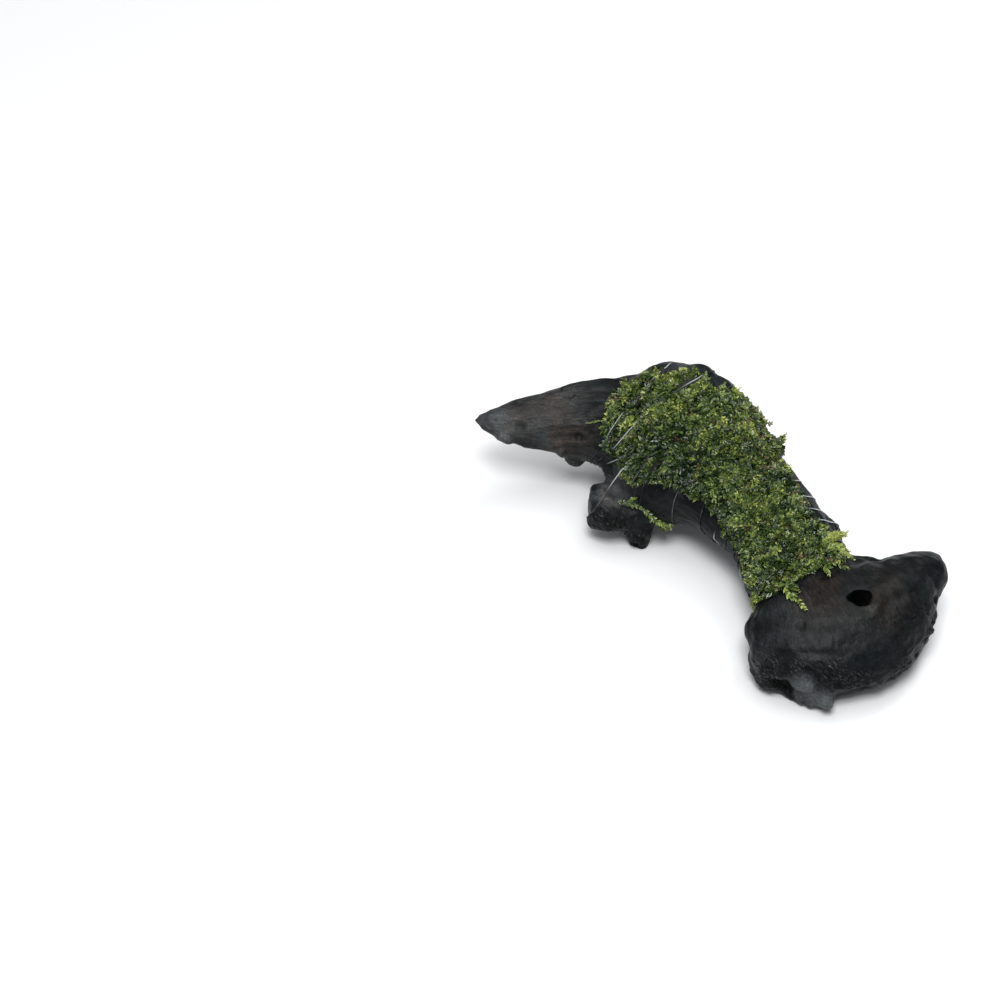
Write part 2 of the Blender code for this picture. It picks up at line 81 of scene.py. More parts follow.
def add_camera():
    data = bpy.data.cameras.new("camera")
    data.sensor_width = SENSOR
    data.lens = LENS
    data.clip_start = CLIP_START
    data.clip_end = CLIP_END
    camera = add_object("camera", data)
    camera.location = CAMERA_PLACE
    camera.rotation_euler = (math.radians(CAMERA_PITCH), 0, 0)
    bpy.context.scene.camera = camera


def add_light():
    scene = bpy.context.scene
    scene.view_settings.view_transform = "Standard"
    scene.view_settings.look = "None"
    scene.world = bpy.data.worlds.new("studio")
    scene.world.use_nodes = True
    background = scene.world.node_tree.nodes["Background"]
    background.inputs["Color"].default_value = SKY
    background.inputs["Strength"].default_value = SKY_STRENGTH
    for name, place, size, power in SOFTBOXES:
        data = bpy.data.lights.new(name, "AREA")
        data.size = size
        data.energy = power
        light = add_object(name, data)
        light.location = place
        light.rotation_euler = (Vector(AIM) - Vector(place)).to_track_quat("-Z", "Y").to_euler()


add_camera()
add_light()


# ---- noise and mesh helpers
TABLE_SIZE = 256
NOISE_GAIN = 1.7  # brings the noise to between about -1 and 1
RIDGE_GAIN = 1.8  # the higher, the narrower are the crests
WELD = 0.001
TINY = 1e-6


def lengths(vectors):
    return np.linalg.norm(vectors, axis=-1)


def unit(vectors):
    return vectors / np.maximum(np.linalg.norm(vectors, axis=-1, keepdims=True), TINY)


def dots(one, two):
    return np.einsum("ij,ij->i", one, two)


GRADIENTS = unit(random.normal(size=(TABLE_SIZE, 3)))
SHUFFLED = np.tile(random.permutation(TABLE_SIZE), 2)


def noise(points):
    """Smooth noise, with one cell to each unit. A number added to the points gives another pattern."""
    cell = np.floor(points).astype(int)
    part = points - cell
    fade = part**3 * (part * (part * 6 - 15) + 10)
    total = np.zeros(len(points))
    for corner in np.ndindex(2, 2, 2):
        x, y, z = ((cell + corner) % TABLE_SIZE).T
        gradient = GRADIENTS[SHUFFLED[SHUFFLED[SHUFFLED[x] + y] + z]]
        share = np.prod(np.where(corner, fade, 1 - fade), axis=1)
        total += share * dots(gradient, part - corner)
    return total * NOISE_GAIN


def layered(points, layers, base=0.0):
    """A base with layers of noise on it: the size, depth and pattern of each."""
    return sum((depth * noise(points / size + pattern) for size, depth, pattern in layers), base)


def ridges(points):
    """Noise with sharp crests: 1 on a crest and down to 0 between them."""
    return 1 - np.minimum(1, np.abs(noise(points)) * RIDGE_GAIN)


def smoothstep(low, high, values):
    t = np.clip((values - low) / (high - low), 0, 1)
    return t * t * (3 - 2 * t)


def read(items, field, width=3, kind=np.float32):
    values = np.empty(len(items) * width, kind)
    items.foreach_get(field, values)
    return values.reshape(-1, width)


def mesh_points(mesh):
    return read(mesh.vertices, "co").astype(float) / MM


def mesh_normals(mesh):
    return read(mesh.vertex_normals, "vector").astype(float)


def mesh_edges(mesh):
    return read(mesh.edges, "vertices", 2, np.int32)


def move_points(mesh, points):
    mesh.vertices.foreach_set("co", (points * MM).astype(np.float32).ravel())
    mesh.update()


def dress(mesh, material):
    mesh.shade_smooth()
    mesh.materials.clear()
    mesh.materials.append(material)


def relaxed(values, edges, rounds):
    """Values at the vertices, drawn half way to their neighbours' mean in each round."""
    values = values.copy()
    one, two = edges.T
    count = np.bincount(edges.ravel(), minlength=len(values)).astype(float)
    for _ in range(rounds):
        total = np.zeros_like(values)
        for axis in range(values.shape[1]):
            total[:, axis] = np.bincount(one, values[two, axis], len(values))
            total[:, axis] += np.bincount(two, values[one, axis], len(values))
        values += (total / count[:, None] - values) / 2
    return values


def store(mesh, **looks):
    """Keeps numbers or vectors at the vertices, for the materials."""
    for name, values in looks.items():
        kind, field = ("FLOAT", "value") if values.ndim == 1 else ("FLOAT_VECTOR", "vector")
        stored = mesh.attributes.new(name, kind, "POINT")
        stored.data.foreach_set(field, values.astype(np.float32).ravel())


def near(points, centre, radius):
    """1 at a centre, falling smoothly to 0 at the radius."""
    return smoothstep(radius, 0, lengths(points - centre))


def within(points, places):
    """The share of each point in the nearest of some round places."""
    return np.max([near(points, centre, radius) for *centre, radius in places], axis=0)


def run_of(path):
    """The distance along a path at each of its points."""
    return np.concatenate([[0], np.cumsum(lengths(np.diff(path, axis=0)))])


def densified(route, step):
    """The same route with points at least every step."""
    made = []
    for one, two in zip(route, route[1:]):
        count = max(1, math.ceil(np.linalg.norm(two - one) / step))
        made += [one + (two - one) * k / count for k in range(count)]
    made.append(route[-1])
    return np.array(made)


def on_path(points, path, reach):
    """1 on a path, falling smoothly to 0 at the reach."""
    path = densified(np.array(path, float), reach / 4)
    return smoothstep(reach, 0, lengths(points[:, None, :] - path[None, :, :]).min(axis=1))


def search_tree(points):
    found = KDTree(len(points))
    for k, point in enumerate(points):
        found.insert(point, k)
    found.balance()
    return found


def welded(node):
    """A CAD node's mesh with its doubled points joined."""
    mesh = bmesh.new()
    mesh.from_mesh(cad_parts[node].data)
    bmesh.ops.remove_doubles(mesh, verts=mesh.verts, dist=WELD * MM)
    return mesh


def finished(mesh, name):
    data = bpy.data.meshes.new(name)
    mesh.to_mesh(data)
    mesh.free()
    return data


def evaluated(obj):
    """An object's mesh with its modifiers or its tube made real."""
    bpy.context.view_layer.update()
    graph = bpy.context.evaluated_depsgraph_get()
    return bpy.data.meshes.new_from_object(obj.evaluated_get(graph))


def fused(name, nodes, overlap, voxel):
    """One closed mesh of several CAD nodes. Each is swollen by the overlap, so that they join."""
    whole = bmesh.new()
    for node in nodes:
        piece = welded(node)
        piece.normal_update()
        for vertex, move in [(v, v.normal * (overlap * MM)) for v in piece.verts]:
            vertex.co += move
        whole.from_mesh(finished(piece, "swollen"))
    obj = add_object(name, finished(whole, name))
    remesh = obj.modifiers.new("fuse", "REMESH")
    remesh.mode = "VOXEL"
    remesh.voxel_size = voxel * MM
    data = evaluated(obj)
    obj.modifiers.clear()
    obj.data = data
    return obj


def tree_of(mesh, faces=None):
    points = [Vector(point) for point in mesh_points(mesh)]
    polygons = [tuple(polygon.vertices) for polygon in mesh.polygons]
    if faces is not None:
        polygons = [polygons[k] for k in faces]
    return BVHTree.FromPolygons(points, polygons)


def kept_off(point, wood, least):
    """The point, moved out where it is nearer to the wood's surface than the least distance."""
    spot, normal, _, _ = wood.find_nearest(point)
    height = (Vector(point) - spot).dot(normal)
    return point + np.array(normal) * max(0, least - height)


# ---- the grain's directions
TRUNK_LINE = [
    (-67.6, 39.3, 24), (-52.1, 40.3, 22.5), (-34.1, 41.3, 22), (-24.1, 39.8, 22), (-13.1, 35.3, 22),
    (-3.1, 25.8, 20.5), (7.4, 15.8, 18.5), (15.4, 6.3, 16.5), (21.4, -3.7, 14.5),
    (24.9, -14.2, 13.5), (29.9, -24.2, 12.5), (34.9, -35.2, 12),
]
STUB_LINE = [
    (-9.1, 28.8, 15), (-17.1, 21.8, 12), (-23.6, 18.3, 10.5), (-30.1, 16.8, 10), (-36, 16.3, 10),
]
LINE_STEPS = 12  # between two points of a limb's line
LINE_ROUNDS = 36  # of rounding it
FAN_CENTRE = np.array([17.0, 4.0])  # the knob's grain spreads out from here, in plan
FAN_WIDTH = 34.0
KNOB_START = (25.5, -15.5)  # in plan, where the neck's grain turns into the knob's
KNOB_WAY = np.array([0.38, -0.925])
KNOB_BLEND = 7.0  # to both sides of the start
STUB_BLEND = 3.0
STUB_MARGIN = 1.0  # by which the stub's line has to be nearer than the trunk's
STUB_FADE = (2.0, -6.0)  # along X, from no stub grain to all of it


def limb_grain(line, points):
    """Each point's place along and across a limb, and its distance from the limb's middle line."""
    line = np.array(line, float)
    t = np.linspace(0, len(line) - 1, (len(line) - 1) * LINE_STEPS + 1)
    middle = np.column_stack([np.interp(t, range(len(line)), column) for column in line.T])
    for _ in range(LINE_ROUNDS):
        middle[1:-1] = (middle[:-2] + middle[2:]) / 2
    along = unit(np.gradient(middle, axis=0))
    side = unit(np.cross((0, 0, 1), along))
    up = np.cross(along, side)
    gaps = lengths(points[:, None, :] - middle[None, :, :])
    nearest = gaps.argmin(axis=1)
    offset = points - middle[nearest]
    places = np.column_stack([dots(offset, way[nearest]) for way in (along, side, up)])
    places[:, 0] += run_of(middle)[nearest]
    return places, gaps.min(axis=1)


def wood_grain(points):
    """Two sets of places in the grain, the trunk's and the knob's or stub's, and the second's share."""
    trunk, trunk_gap = limb_grain(TRUNK_LINE, points)
    stub, stub_gap = limb_grain(STUB_LINE, points)
    from_centre = points[:, :2] - FAN_CENTRE
    turn = np.arctan2(from_centre[:, 1], from_centre[:, 0])
    fan = np.column_stack([lengths(from_centre), turn * FAN_WIDTH, points[:, 2]])
    knob_share = smoothstep(-KNOB_BLEND, KNOB_BLEND, (points[:, :2] - KNOB_START) @ KNOB_WAY)
    stub_share = smoothstep(-STUB_BLEND, STUB_BLEND, trunk_gap - stub_gap - STUB_MARGIN)
    stub_share = stub_share * smoothstep(*STUB_FADE, points[:, 0])
    second = np.where((knob_share > stub_share)[:, None], fan, stub)
    return trunk, second, np.maximum(knob_share, stub_share)


# ---- the wood's form
WOOD_OVERLAP = 0.2
WOOD_VOXEL = 0.52
HOLE_MOUTH = (39.4, -33.0, 24.5)
HOLE_FLOOR = (39.4, -33.0, 19.0)
HOLE_FLOOR_RADIUS = 6.5
# The mouth is drawn out fully within the first of these from its middle, and not beyond the second.
MOUTH_START, MOUTH_END = 4.0, 8.5
MOUTH_HEIGHTS = (10, 18)  # not drawn out below the first, fully above the second
MOUTH_SHIFT = (0.5, -0.5)
# In plan: the turn in degrees, the width of turn and the share by which the mouth is drawn out there.
MOUTH_CORNERS = ((178, 40, 0.32), (38, 42, 0.24), (-42, 44, 0.32), (-100, 50, 0.14))
TIP = (-66.0, 39.5, 24.0)
TIP_RADIUS = 9.0
TIP_DRAW = (-1.5, 0.15, 0.2)  # by this the arm's tip is drawn out
# Rounds of smoothing: of the whole form, of its worn places, of its sharp ones, and of the upward share.
SOFT_ROUNDS, WORN_ROUNDS, SHARP_ROUNDS, UPWARD_ROUNDS = 6, 40, 2, 4
SHARP_PLACES = ((*HOLE_MOUTH, 7.0), (*TIP, 7.0))
# The grain's relief: sizes along the grain and across it, and depth.
RIDGE_SIZES, RIDGE_DEPTH = (16, 2.8, 2.8), 0.28
FIBRE_SIZES, FIBRE_DEPTH = (7, 0.9, 0.9), 0.07
CRACK_SIZES, CRACK_DEPTH = (18, 3.4, 3.4), 0.75
CRACK_CREST = 0.94  # the ridges are cracks above this
OPENING_SIZES, OPEN = (12, 7, 7), 0.4  # of the stretches in which the cracks are open
# The torn fibres run along the first of these ways.
TORN_WAYS = np.array([(0.75, -0.45, -0.48), (0.55, 0.83, 0.08), (0.37, -0.32, 0.87)])
TORN_SIZES = np.array([3.4, 1.1, 0.9])
TORN_DEPTH = 0.42
# Lumps: size, depth and pattern.
TORN_LUMPS = ((1.3, 0.2, 19), (3.1, 0.25, 7))
WOOD_LUMPS = ((2.3, 0.12, 0), (7.5, 0.3, 3))
TORN_LOSS = 0.5  # of the grain's relief, in torn places
CALM_LOSS = 0.88  # and in calm ones
CALM_LUMP_LOSS = 0.5
TORN_GAIN = 2  # in the torn look of what is torn in form
PALE_LOSS = 0.7  # of the torn look, in pale places
# Smooth places, with little grain: centre and radius.
CALM_PLACES = (
    (38, -30, 24, 27), (22, -34, 21, 16), (24, -43, 18, 15), (34, -44, 20.5, 15), (42, -42, 18, 16),
    (-50, 38, 26, 14),
)
# Places where the surface is torn and rough: centre and radius.
ROUGH_PLACES = (
    (14, -48, 11.5, 7), (23, -50.6, 14, 5), (31, -52, 12.2, 8), (38.5, -52, 11, 6.5),
    (13.4, -48.7, 6, 7), (-29, 11, 11.5, 8.5), (-19.5, 9, 4, 8), (-28.5, 16, 17, 6.5),
    (60.5, -34, 11, 7), (52, -46.5, 9.5, 6), (3, 1.5, 13, 7), (13, -22, 13, 8),
)
# Worn and broken places: a path along the surface, its reach to both sides, and how far it is raised.
STROKES = (
    (((-64.8, 37.7, 24), (-63.7, 36.5, 23.5)), 1.8, -1.1),
    (((-60.7, 34.9, 21.6), (-58.4, 34, 20.8)), 2.4, 1.2),
    (((-53.6, 33.3, 20),), 2.2, -0.6),
    (((-49.5, 32.6, 19.2),), 1.4, -0.4),
    (((-42.9, 31.9, 18.5), (-41.6, 33.4, 15)), 2.2, 1),
    (((-39, 33.5, 12.5), (-37.4, 34, 11.1)), 2.6, 0.7),
    (((-37.4, 34, 23),), 1.8, -0.9),
    (((-38.6, 33.6, 22.2),), 1.4, 0.4),
    (((-54.8, 35.7, 24.3),), 2.6, -0.6),
    (((-34.6, 31.1, 16.4), (-31.6, 28.6, 17.6)), 2.2, 0.8),
    (((-29.2, 26.4, 17.4), (-28.2, 24.6, 15.8)), 2.8, 1.6),
    (((-32.8, 19.2, 16.8),), 2, -0.8),
    (((-34.4, 13.4, 8.6), (-33.4, 12.4, 7.2)), 2.4, 1.1),
    (((-33.2, 15.6, 15.6), (-30, 14.6, 15.9), (-25.1, 13.3, 15.4), (-21, 12.8, 16.6)), 1.3, 0.8),
    (((-31, 12.2, 12.6), (-25, 10.2, 11.6)), 2.2, -0.9),
    (((-29.4, 17.4, 17.2), (-27.4, 16.2, 16.6)), 1.2, -0.6),
    (((-25.6, 17.6, 18),), 1.1, 0.5),
    (((-26.7, 9.4, 7.4), (-24, 9.2, 6.6)), 2.4, -1.1),
    (((-22.6, 10, 9), (-21, 9.3, 4.5)), 1.4, 0.5),
    (((-18.6, 9.6, 8.4), (-18.9, 9.4, 4)), 1.2, -0.5),
    (((-15, 9.6, 9.6), (-13.4, 9.4, 9.2)), 2.2, 1),
    (((-15.6, 9, 6.4), (-12, 8.6, 7.2), (-7, 8.4, 6.6), (-3.6, 6.8, 6.2)), 2.6, 0.9),
    (((-1, 2.6, 7), (3.4, 0.6, 6.6), (6.4, -3, 6.4)), 3.2, -2.6),
    (((-21.2, 9.2, 1.6),), 2.6, -1.3),
    (((-15.6, 9.4, 1.6),), 2.6, -1.3),
    (((10.4, -15.5, 8), (9.8, -18, 8)), 2.4, 0.9),
    # the knob's scalloped right edge
    (((62.3, -27.7, 18.1),), 2.2, -1.4),
    (((46.4, -14.4, 21),), 3, -0.8),
    (((50.4, -18.2, 24.2),), 3.4, 0.9),
    (((62.5, -29.6, 13.6), (62, -31.4, 13)), 2, 0.9),
    (((61, -32.6, 14.2),), 1.2, -0.8),
    (((60.5, -34.6, 13),), 2.2, 1.4),
    (((59, -37, 11.2),), 1.6, -0.9),
    (((57.4, -39.4, 10.8),), 1.4, 0.4),
    (((56.4, -41.6, 10.2),), 1.8, -1.1),
    (((54.3, -44.2, 9.8),), 1.5, 0.5),
    (((53, -45.2, 7), (50.4, -47.8, 8)), 2.2, -1.2),
    (((48.6, -49.2, 7.6),), 2.2, -1.2),
    (((45.6, -51, 8.2),), 1.6, 0.6),
    # the torn front: a left lobe, the recess beside it, and the ridge down to the toe
    (((15.4, -50, 8.4), (17.4, -49.2, 6.6), (19.6, -48.6, 4.4)), 2.3, -1.3),
    (((21.6, -50.4, 9.4), (22.8, -49.6, 5.4), (24, -50.4, 2.6)), 3, 1.9),
    (((23.6, -52, 9.4), (25.2, -51.8, 5.8), (26.4, -52.2, 2.6)), 2.4, 1.7),
    (((12, -47.8, 9.8), (15.9, -50.4, 10.8), (19.4, -51.2, 11.8)), 1.6, 0.6),
    (((10.4, -42.7, 5.6), (9.7, -40.4, 8.6)), 2.6, 0.9),
    (((11.9, -45.6, 13), (13, -47.6, 8), (15.2, -48.9, 4)), 2.2, 0.5),
    (((13.2, -47, 13.6), (17, -49, 13.2)), 1.5, 0.6),
    (((22, -51, 13.8), (24.3, -52.5, 12.1), (28.5, -53.9, 6.6), (31, -54.9, 4.8)), 2.6, 0.9),
    (((30.6, -54.8, 5),), 2.4, 0.5),
    (((24.9, -51.4, 14.6), (28, -53, 11.4), (32.6, -54.2, 7)), 2, -0.4),
    (((34.4, -53.8, 7.2), (38.5, -52.9, 7.5), (42, -52, 7.3)), 3.6, -1),
    (((34, -53, 4.4), (38.5, -52.2, 4.8), (42, -51.4, 5.2)), 3.6, -1.3),
    (((19.8, -48.6, 17.4), (25.2, -49.4, 17.8), (31, -50.2, 17)), 1.6, 0.15),
    (((23, -40.9, 22),), 2.2, -0.5),
    (((49.8, -42.8, 19.2),), 2, -0.4),
    # worn edges beside the old hole
    (((44.6, -35.4, 24.6), (42.6, -37.8, 23.8)), 1.3, 0.35),
    (((44, -25.7, 25.4),), 1, 0.3),
)
# Places lighter than the rest, partly dry bleached wood and partly a painted sheen along the arm's top
# and back rim and on the old hole's rim: centre, radius and share.
PALE_PLACES = (
    (-48, 37, 26, 26, 0.5), (-62, 37.5, 25, 14, 0.95), (-9, 46, 39.5, 9, 0.5),
    (-20, 47.5, 35, 7, 0.6), (-44, 42, 31, 16, 0.5), (-27.5, 16.4, 18, 9, 1.5),
    (24, -52.4, 10.6, 5.4, 1.2), (23.4, -50.6, 5.4, 4, 1.2), (29, -54.4, 6.2, 6.4, 1.6),
    (5, -5, 14, 9, 0.3), (20, -36, 21, 12, 0.2), (14, -43, 14, 6, 0.35),
    (42.4, -36, 24.4, 2.6, 0.6),
)
# Places where a crease is worn smooth: centre and radius.
WORN_PLACES = (
    (-38.5, 33, 15.5, 8), (-29, 26, 16, 6),
)
# Places with a brown tint: centre and radius.
BROWN_PLACES = (
    (-46, 37, 25, 24), (-28, 15, 18, 7), (30, -32, 24, 17), (46, -32, 24, 17),
)


def grain_relief(places):
    """Height of the worn grain: low ridges, finer fibres between them, and a few narrow cracks."""
    broad = ridges(places / RIDGE_SIZES) - 0.5
    fine = noise(places / FIBRE_SIZES + 31)
    crack = smoothstep(CRACK_CREST, 1, ridges(places / CRACK_SIZES + 57))
    opened = smoothstep(0, OPEN, noise(places / OPENING_SIZES + 83))
    return RIDGE_DEPTH * broad + FIBRE_DEPTH * fine - CRACK_DEPTH * crack * opened


def torn_relief(points):
    """Height of torn wood: short fibres that slope down the front, and pits between them."""
    fibres = (points @ TORN_WAYS.T) / TORN_SIZES
    return layered(points, TORN_LUMPS, TORN_DEPTH * (ridges(fibres) - 0.5))


def torn_mouth(points):
    """The old hole's round mouth drawn out to a point at the left and to corners at the right."""
    out = points[:, :2] - HOLE_MOUTH[:2]
    turn = np.degrees(np.arctan2(out[:, 1], out[:, 0]))
    share = smoothstep(MOUTH_END, MOUTH_START, lengths(out)) * smoothstep(*MOUTH_HEIGHTS, points[:, 2])
    draw = np.zeros(len(points))
    for centre, width, amount in MOUTH_CORNERS:
        gap = np.abs((turn - centre + 180) % 360 - 180)
        draw += amount * smoothstep(width, 0, gap)
    points = points.copy()
    points[:, :2] += (out * draw[:, None] + MOUTH_SHIFT) * share[:, None]
    return points


def smoothed_wood(points, edges):
    """The fused form without its voxel steps, and with its torn mouth and its drawn-out tip."""
    soft = relaxed(points, edges, SOFT_ROUNDS)
    worn = within(points, WORN_PLACES)[:, None]
    soft += (relaxed(soft, edges, WORN_ROUNDS) - soft) * worn
    sharp = within(points, SHARP_PLACES)[:, None]
    points = torn_mouth(soft + (relaxed(points, edges, SHARP_ROUNDS) - soft) * sharp)
    return points + np.outer(near(points, TIP, TIP_RADIUS), TIP_DRAW)


def add_wood():
    wood = fused("driftwood", WOOD_NODES, WOOD_OVERLAP, WOOD_VOXEL)
    mesh = wood.data
    edges = mesh_edges(mesh)
    points = smoothed_wood(mesh_points(mesh), edges)
    move_points(mesh, points)
    normals = mesh_normals(mesh)

    first, second, share = wood_grain(points)
    torn = within(points, ROUGH_PLACES)
    calm = within(points, CALM_PLACES)
    height = (1 - share) * grain_relief(first) + share * grain_relief(second)
    height = height * (1 - TORN_LOSS * torn) * (1 - CALM_LOSS * calm) + torn * torn_relief(points)
    height += layered(points, WOOD_LUMPS) * (1 - CALM_LUMP_LOSS * calm) - WOOD_OVERLAP
    for path, reach, rise in STROKES:
        height += rise * on_path(points, path, reach)
    pale = [amount * near(points, centre, radius) for *centre, radius, amount in PALE_PLACES]
    pale = np.minimum(np.max(pale, axis=0), 1)
    torn = np.minimum(1, TORN_GAIN * torn) * (1 - PALE_LOSS * pale)
    brown = within(points, BROWN_PLACES) * (1 - near(points, HOLE_FLOOR, HOLE_FLOOR_RADIUS))
    points += normals * height[:, None]
    points[:, 2] = np.maximum(points[:, 2], 0)
    move_points(mesh, points)
    # How much the surface turns up, for the painted light on faces turned up and shade on faces turned
    # down.
    upward = relaxed(mesh_normals(mesh)[:, 2:], edges, UPWARD_ROUNDS)[:, 0]

    store(mesh, grain_a=first, grain_b=second, grain_share=share, fibres=points @ TORN_WAYS.T)
    store(mesh, torn=torn, brown=brown, pale=pale, height=height, upward=upward)
    dress(mesh, wood_material())
    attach(wood, "root")
    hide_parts(*WOOD_NODES)
    return wood


# ---- materials
CLOUD_DETAIL = 0.55  # how strong the finer layers of every pattern are
BLACK, BROWN = (0.0046, 0.0062, 0.0068), (0.0195, 0.0142, 0.0117)
# The pale colours, of dry wood and of the painted sheen.
DRY_AND_SHEEN_BLACK, DRY_AND_SHEEN_BROWN = (0.070, 0.076, 0.079), (0.092, 0.073, 0.063)
# The torn places are darker all over, towards this colour by this share.
TORN_DARK, TORN_DARK_SHARE = (0.0012, 0.0015, 0.0017), 0.55
# Painted glints: the torn fibres' crests are lightened towards this colour by this share.
CREST_GLINT, CREST_GLINT_SHARE = (0.060, 0.068, 0.074), 0.4
# Patterns in the wood: their size, and how much fibres are drawn out along the first way.
STREAKS, HAIRS, TEARS = ((0.09, 1, 1), 1.6), ((0.12, 1, 1), 0.5), ((0.25, 1, 1), 0.42)
PATCH_SIZE, GRIT_SIZE = 9.0, 0.5
GRIT_IN_STREAKS = 0.2
# How a pattern is read: from where to where, and what it gives there if that isn't 0 and 1.
BROWN_PATCHES, BROWN_STREAKS = (0.35, 0.6), (0.35, 0.6, 0.4, 1)
BLEACHED_AND_SHEEN_STREAKS = (0.36, 0.6, 0.5, 1)
TORN_CRESTS = (0.54, 0.68)
# The wood's brightness by its height, painted shade in the hollows and light on the ridges; by its hairs
# and grit, its real tone; and by its upward turn, painted light on faces turned up and shade on faces
# turned down.
HOLLOW_SHADE_LIFT, HAIR_LIFT = (-0.45, 0.45, 0.4, 1.8), (0.32, 0.68, 0.5, 1.5)
GRIT_LIFT, TOP_LIGHT_LIFT = (0.35, 0.68, 0.65, 1.4), (-0.3, 0.8, 0.75, 1.35)
PALE_CALM = 0.65  # of that brightness is left out in pale places
WOOD_ROUGHNESS, CREST_ROUGHNESS = (0.3, 0.7, 0.36, 0.5), 0.2
WOOD_GLOSS, CREST_GLOSS = 0.12, 0.5
STREAK_BUMP, HAIR_BUMP, GRIT_BUMP, TEAR_BUMP = 0.15, 0.07, 0.06, 0.8

# The bed is painted near black: it stands for the shade in the gaps between the leaves.
BED_DARK, BED_LIGHT = (0.002, 0.004, 0.0015), (0.012, 0.019, 0.005)
BED_SIZE, BED_BUMP, BED_ROUGHNESS = 1.4, 0.5, 0.75
# A leaf's colours by its tone.
LEAF_COLOURS = (
    (0, (0.004, 0.010, 0.003)),
    (0.25, (0.014, 0.034, 0.009)),
    (0.5, (0.049, 0.086, 0.021)),
    (0.72, (0.134, 0.190, 0.034)),
    (0.88, (0.240, 0.300, 0.060)),
    (1, (0.40, 0.45, 0.11)),
)
WITHERED_COLOUR = (0.12, 0.07, 0.03)
MOTTLE_SIZE, MOTTLE = 0.7, (0.3, 0.7, -0.08, 0.08)
VEIN_SIZE, VEIN_BUMP = 0.35, 0.08
LEAF_ROUGHNESS, LEAF_GLOSS = 0.24, 0.55

# Milky patches along the line, partly the nylon's own and partly painted short highlights: their size,
# and how the pattern is read.
MILK_AND_HIGHLIGHT_SIZE, MILK_AND_HIGHLIGHT = 5.0, (0.5, 0.74, 0, 0.12)
# Of the line where it is clear, painted near black as the dark wood and shade seen through it, and where
# it is milky, which is also its painted white highlight.
LINE_COLOURS = (0.016, 0.018, 0.018), (0.80, 0.84, 0.83)
LINE_ROUGHNESS, LINE_GLOSS, LINE_CLEARNESS = (0.55, 0.28), (0.06, 0.5), (0.05, 0.45)
NYLON_IOR = 1.5

FLOOR_COLOURS = (0.86, 0.865, 0.87), (0.89, 0.89, 0.895)
FLOOR_CLOUDS = 0.5  # in metres
FLOOR_ROUGHNESS = 0.6


class Shader:
    """A material's node graph around its Principled BSDF."""

    def __init__(self, name):
        self.material = bpy.data.materials.new(name)
        self.material.use_nodes = True
        self.tree = self.material.node_tree
        self.surface = self.tree.nodes["Principled BSDF"]

    def put(self, socket, value):
        if isinstance(value, bpy.types.NodeSocket):
            self.tree.links.new(value, socket)
        elif hasattr(value, "__len__") and len(value) == 3 and socket.type == "RGBA":
            socket.default_value = (*value, 1)
        else:
            socket.default_value = value

    def node(self, kind, inputs, **settings):
        made = self.tree.nodes.new("ShaderNode" + kind)
        for key, value in settings.items():
            setattr(made, key, value)
        for key, value in inputs.items():
            self.put(made.inputs[key], value)
        return made

    def stored(self, name, vector=False):
        made = self.node("Attribute", {}, attribute_name=name, attribute_type="GEOMETRY")
        return made.outputs["Vector" if vector else "Fac"]

    def place(self):
        """The place on the object, in millimetres."""
        place = self.node("TexCoord", {}).outputs["Object"]
        return self.scaled(place, (1 / MM,) * 3)

    def scaled(self, vector, factors):
        made = self.node("VectorMath", {0: vector, 1: factors}, operation="MULTIPLY")
        return made.outputs["Vector"]

    def clouds(self, vector, size, detail=4):
        inputs = {"Vector": vector, "Scale": 1 / size, "Detail": detail, "Roughness": CLOUD_DETAIL}
        return self.node("TexNoise", inputs).outputs["Fac"]

    def mixed(self, share, one, two):
        made = self.node("Mix", {0: share, 2: one, 3: two})
        return made.outputs[0]

    def colours(self, share, one, two, blend="MIX"):
        made = self.node("Mix", {0: share, 6: one, 7: two}, data_type="RGBA", blend_type=blend)
        return made.outputs[2]

    def plus(self, one, two):
        return self.node("Math", {0: one, 1: two}, operation="ADD").outputs[0]

    def times(self, one, two):
        return self.node("Math", {0: one, 1: two}, operation="MULTIPLY").outputs[0]

    def stretch(self, value, low, high, to_low=0.0, to_high=1.0):
        inputs = {"Value": value, "From Min": low, "From Max": high, "To Min": to_low, "To Max": to_high}
        return self.node("MapRange", inputs, clamp=True).outputs[0]

    def bump(self, height, depth, before=None):
        inputs = {"Height": height, "Strength": 1.0, "Distance": depth * MM}
        if before:
            inputs["Normal"] = before
        return self.node("Bump", inputs).outputs[0]

    def finish(self, **inputs):
        for key, value in inputs.items():
            self.put(self.surface.inputs[key.replace("_", " ")], value)
        return self.material


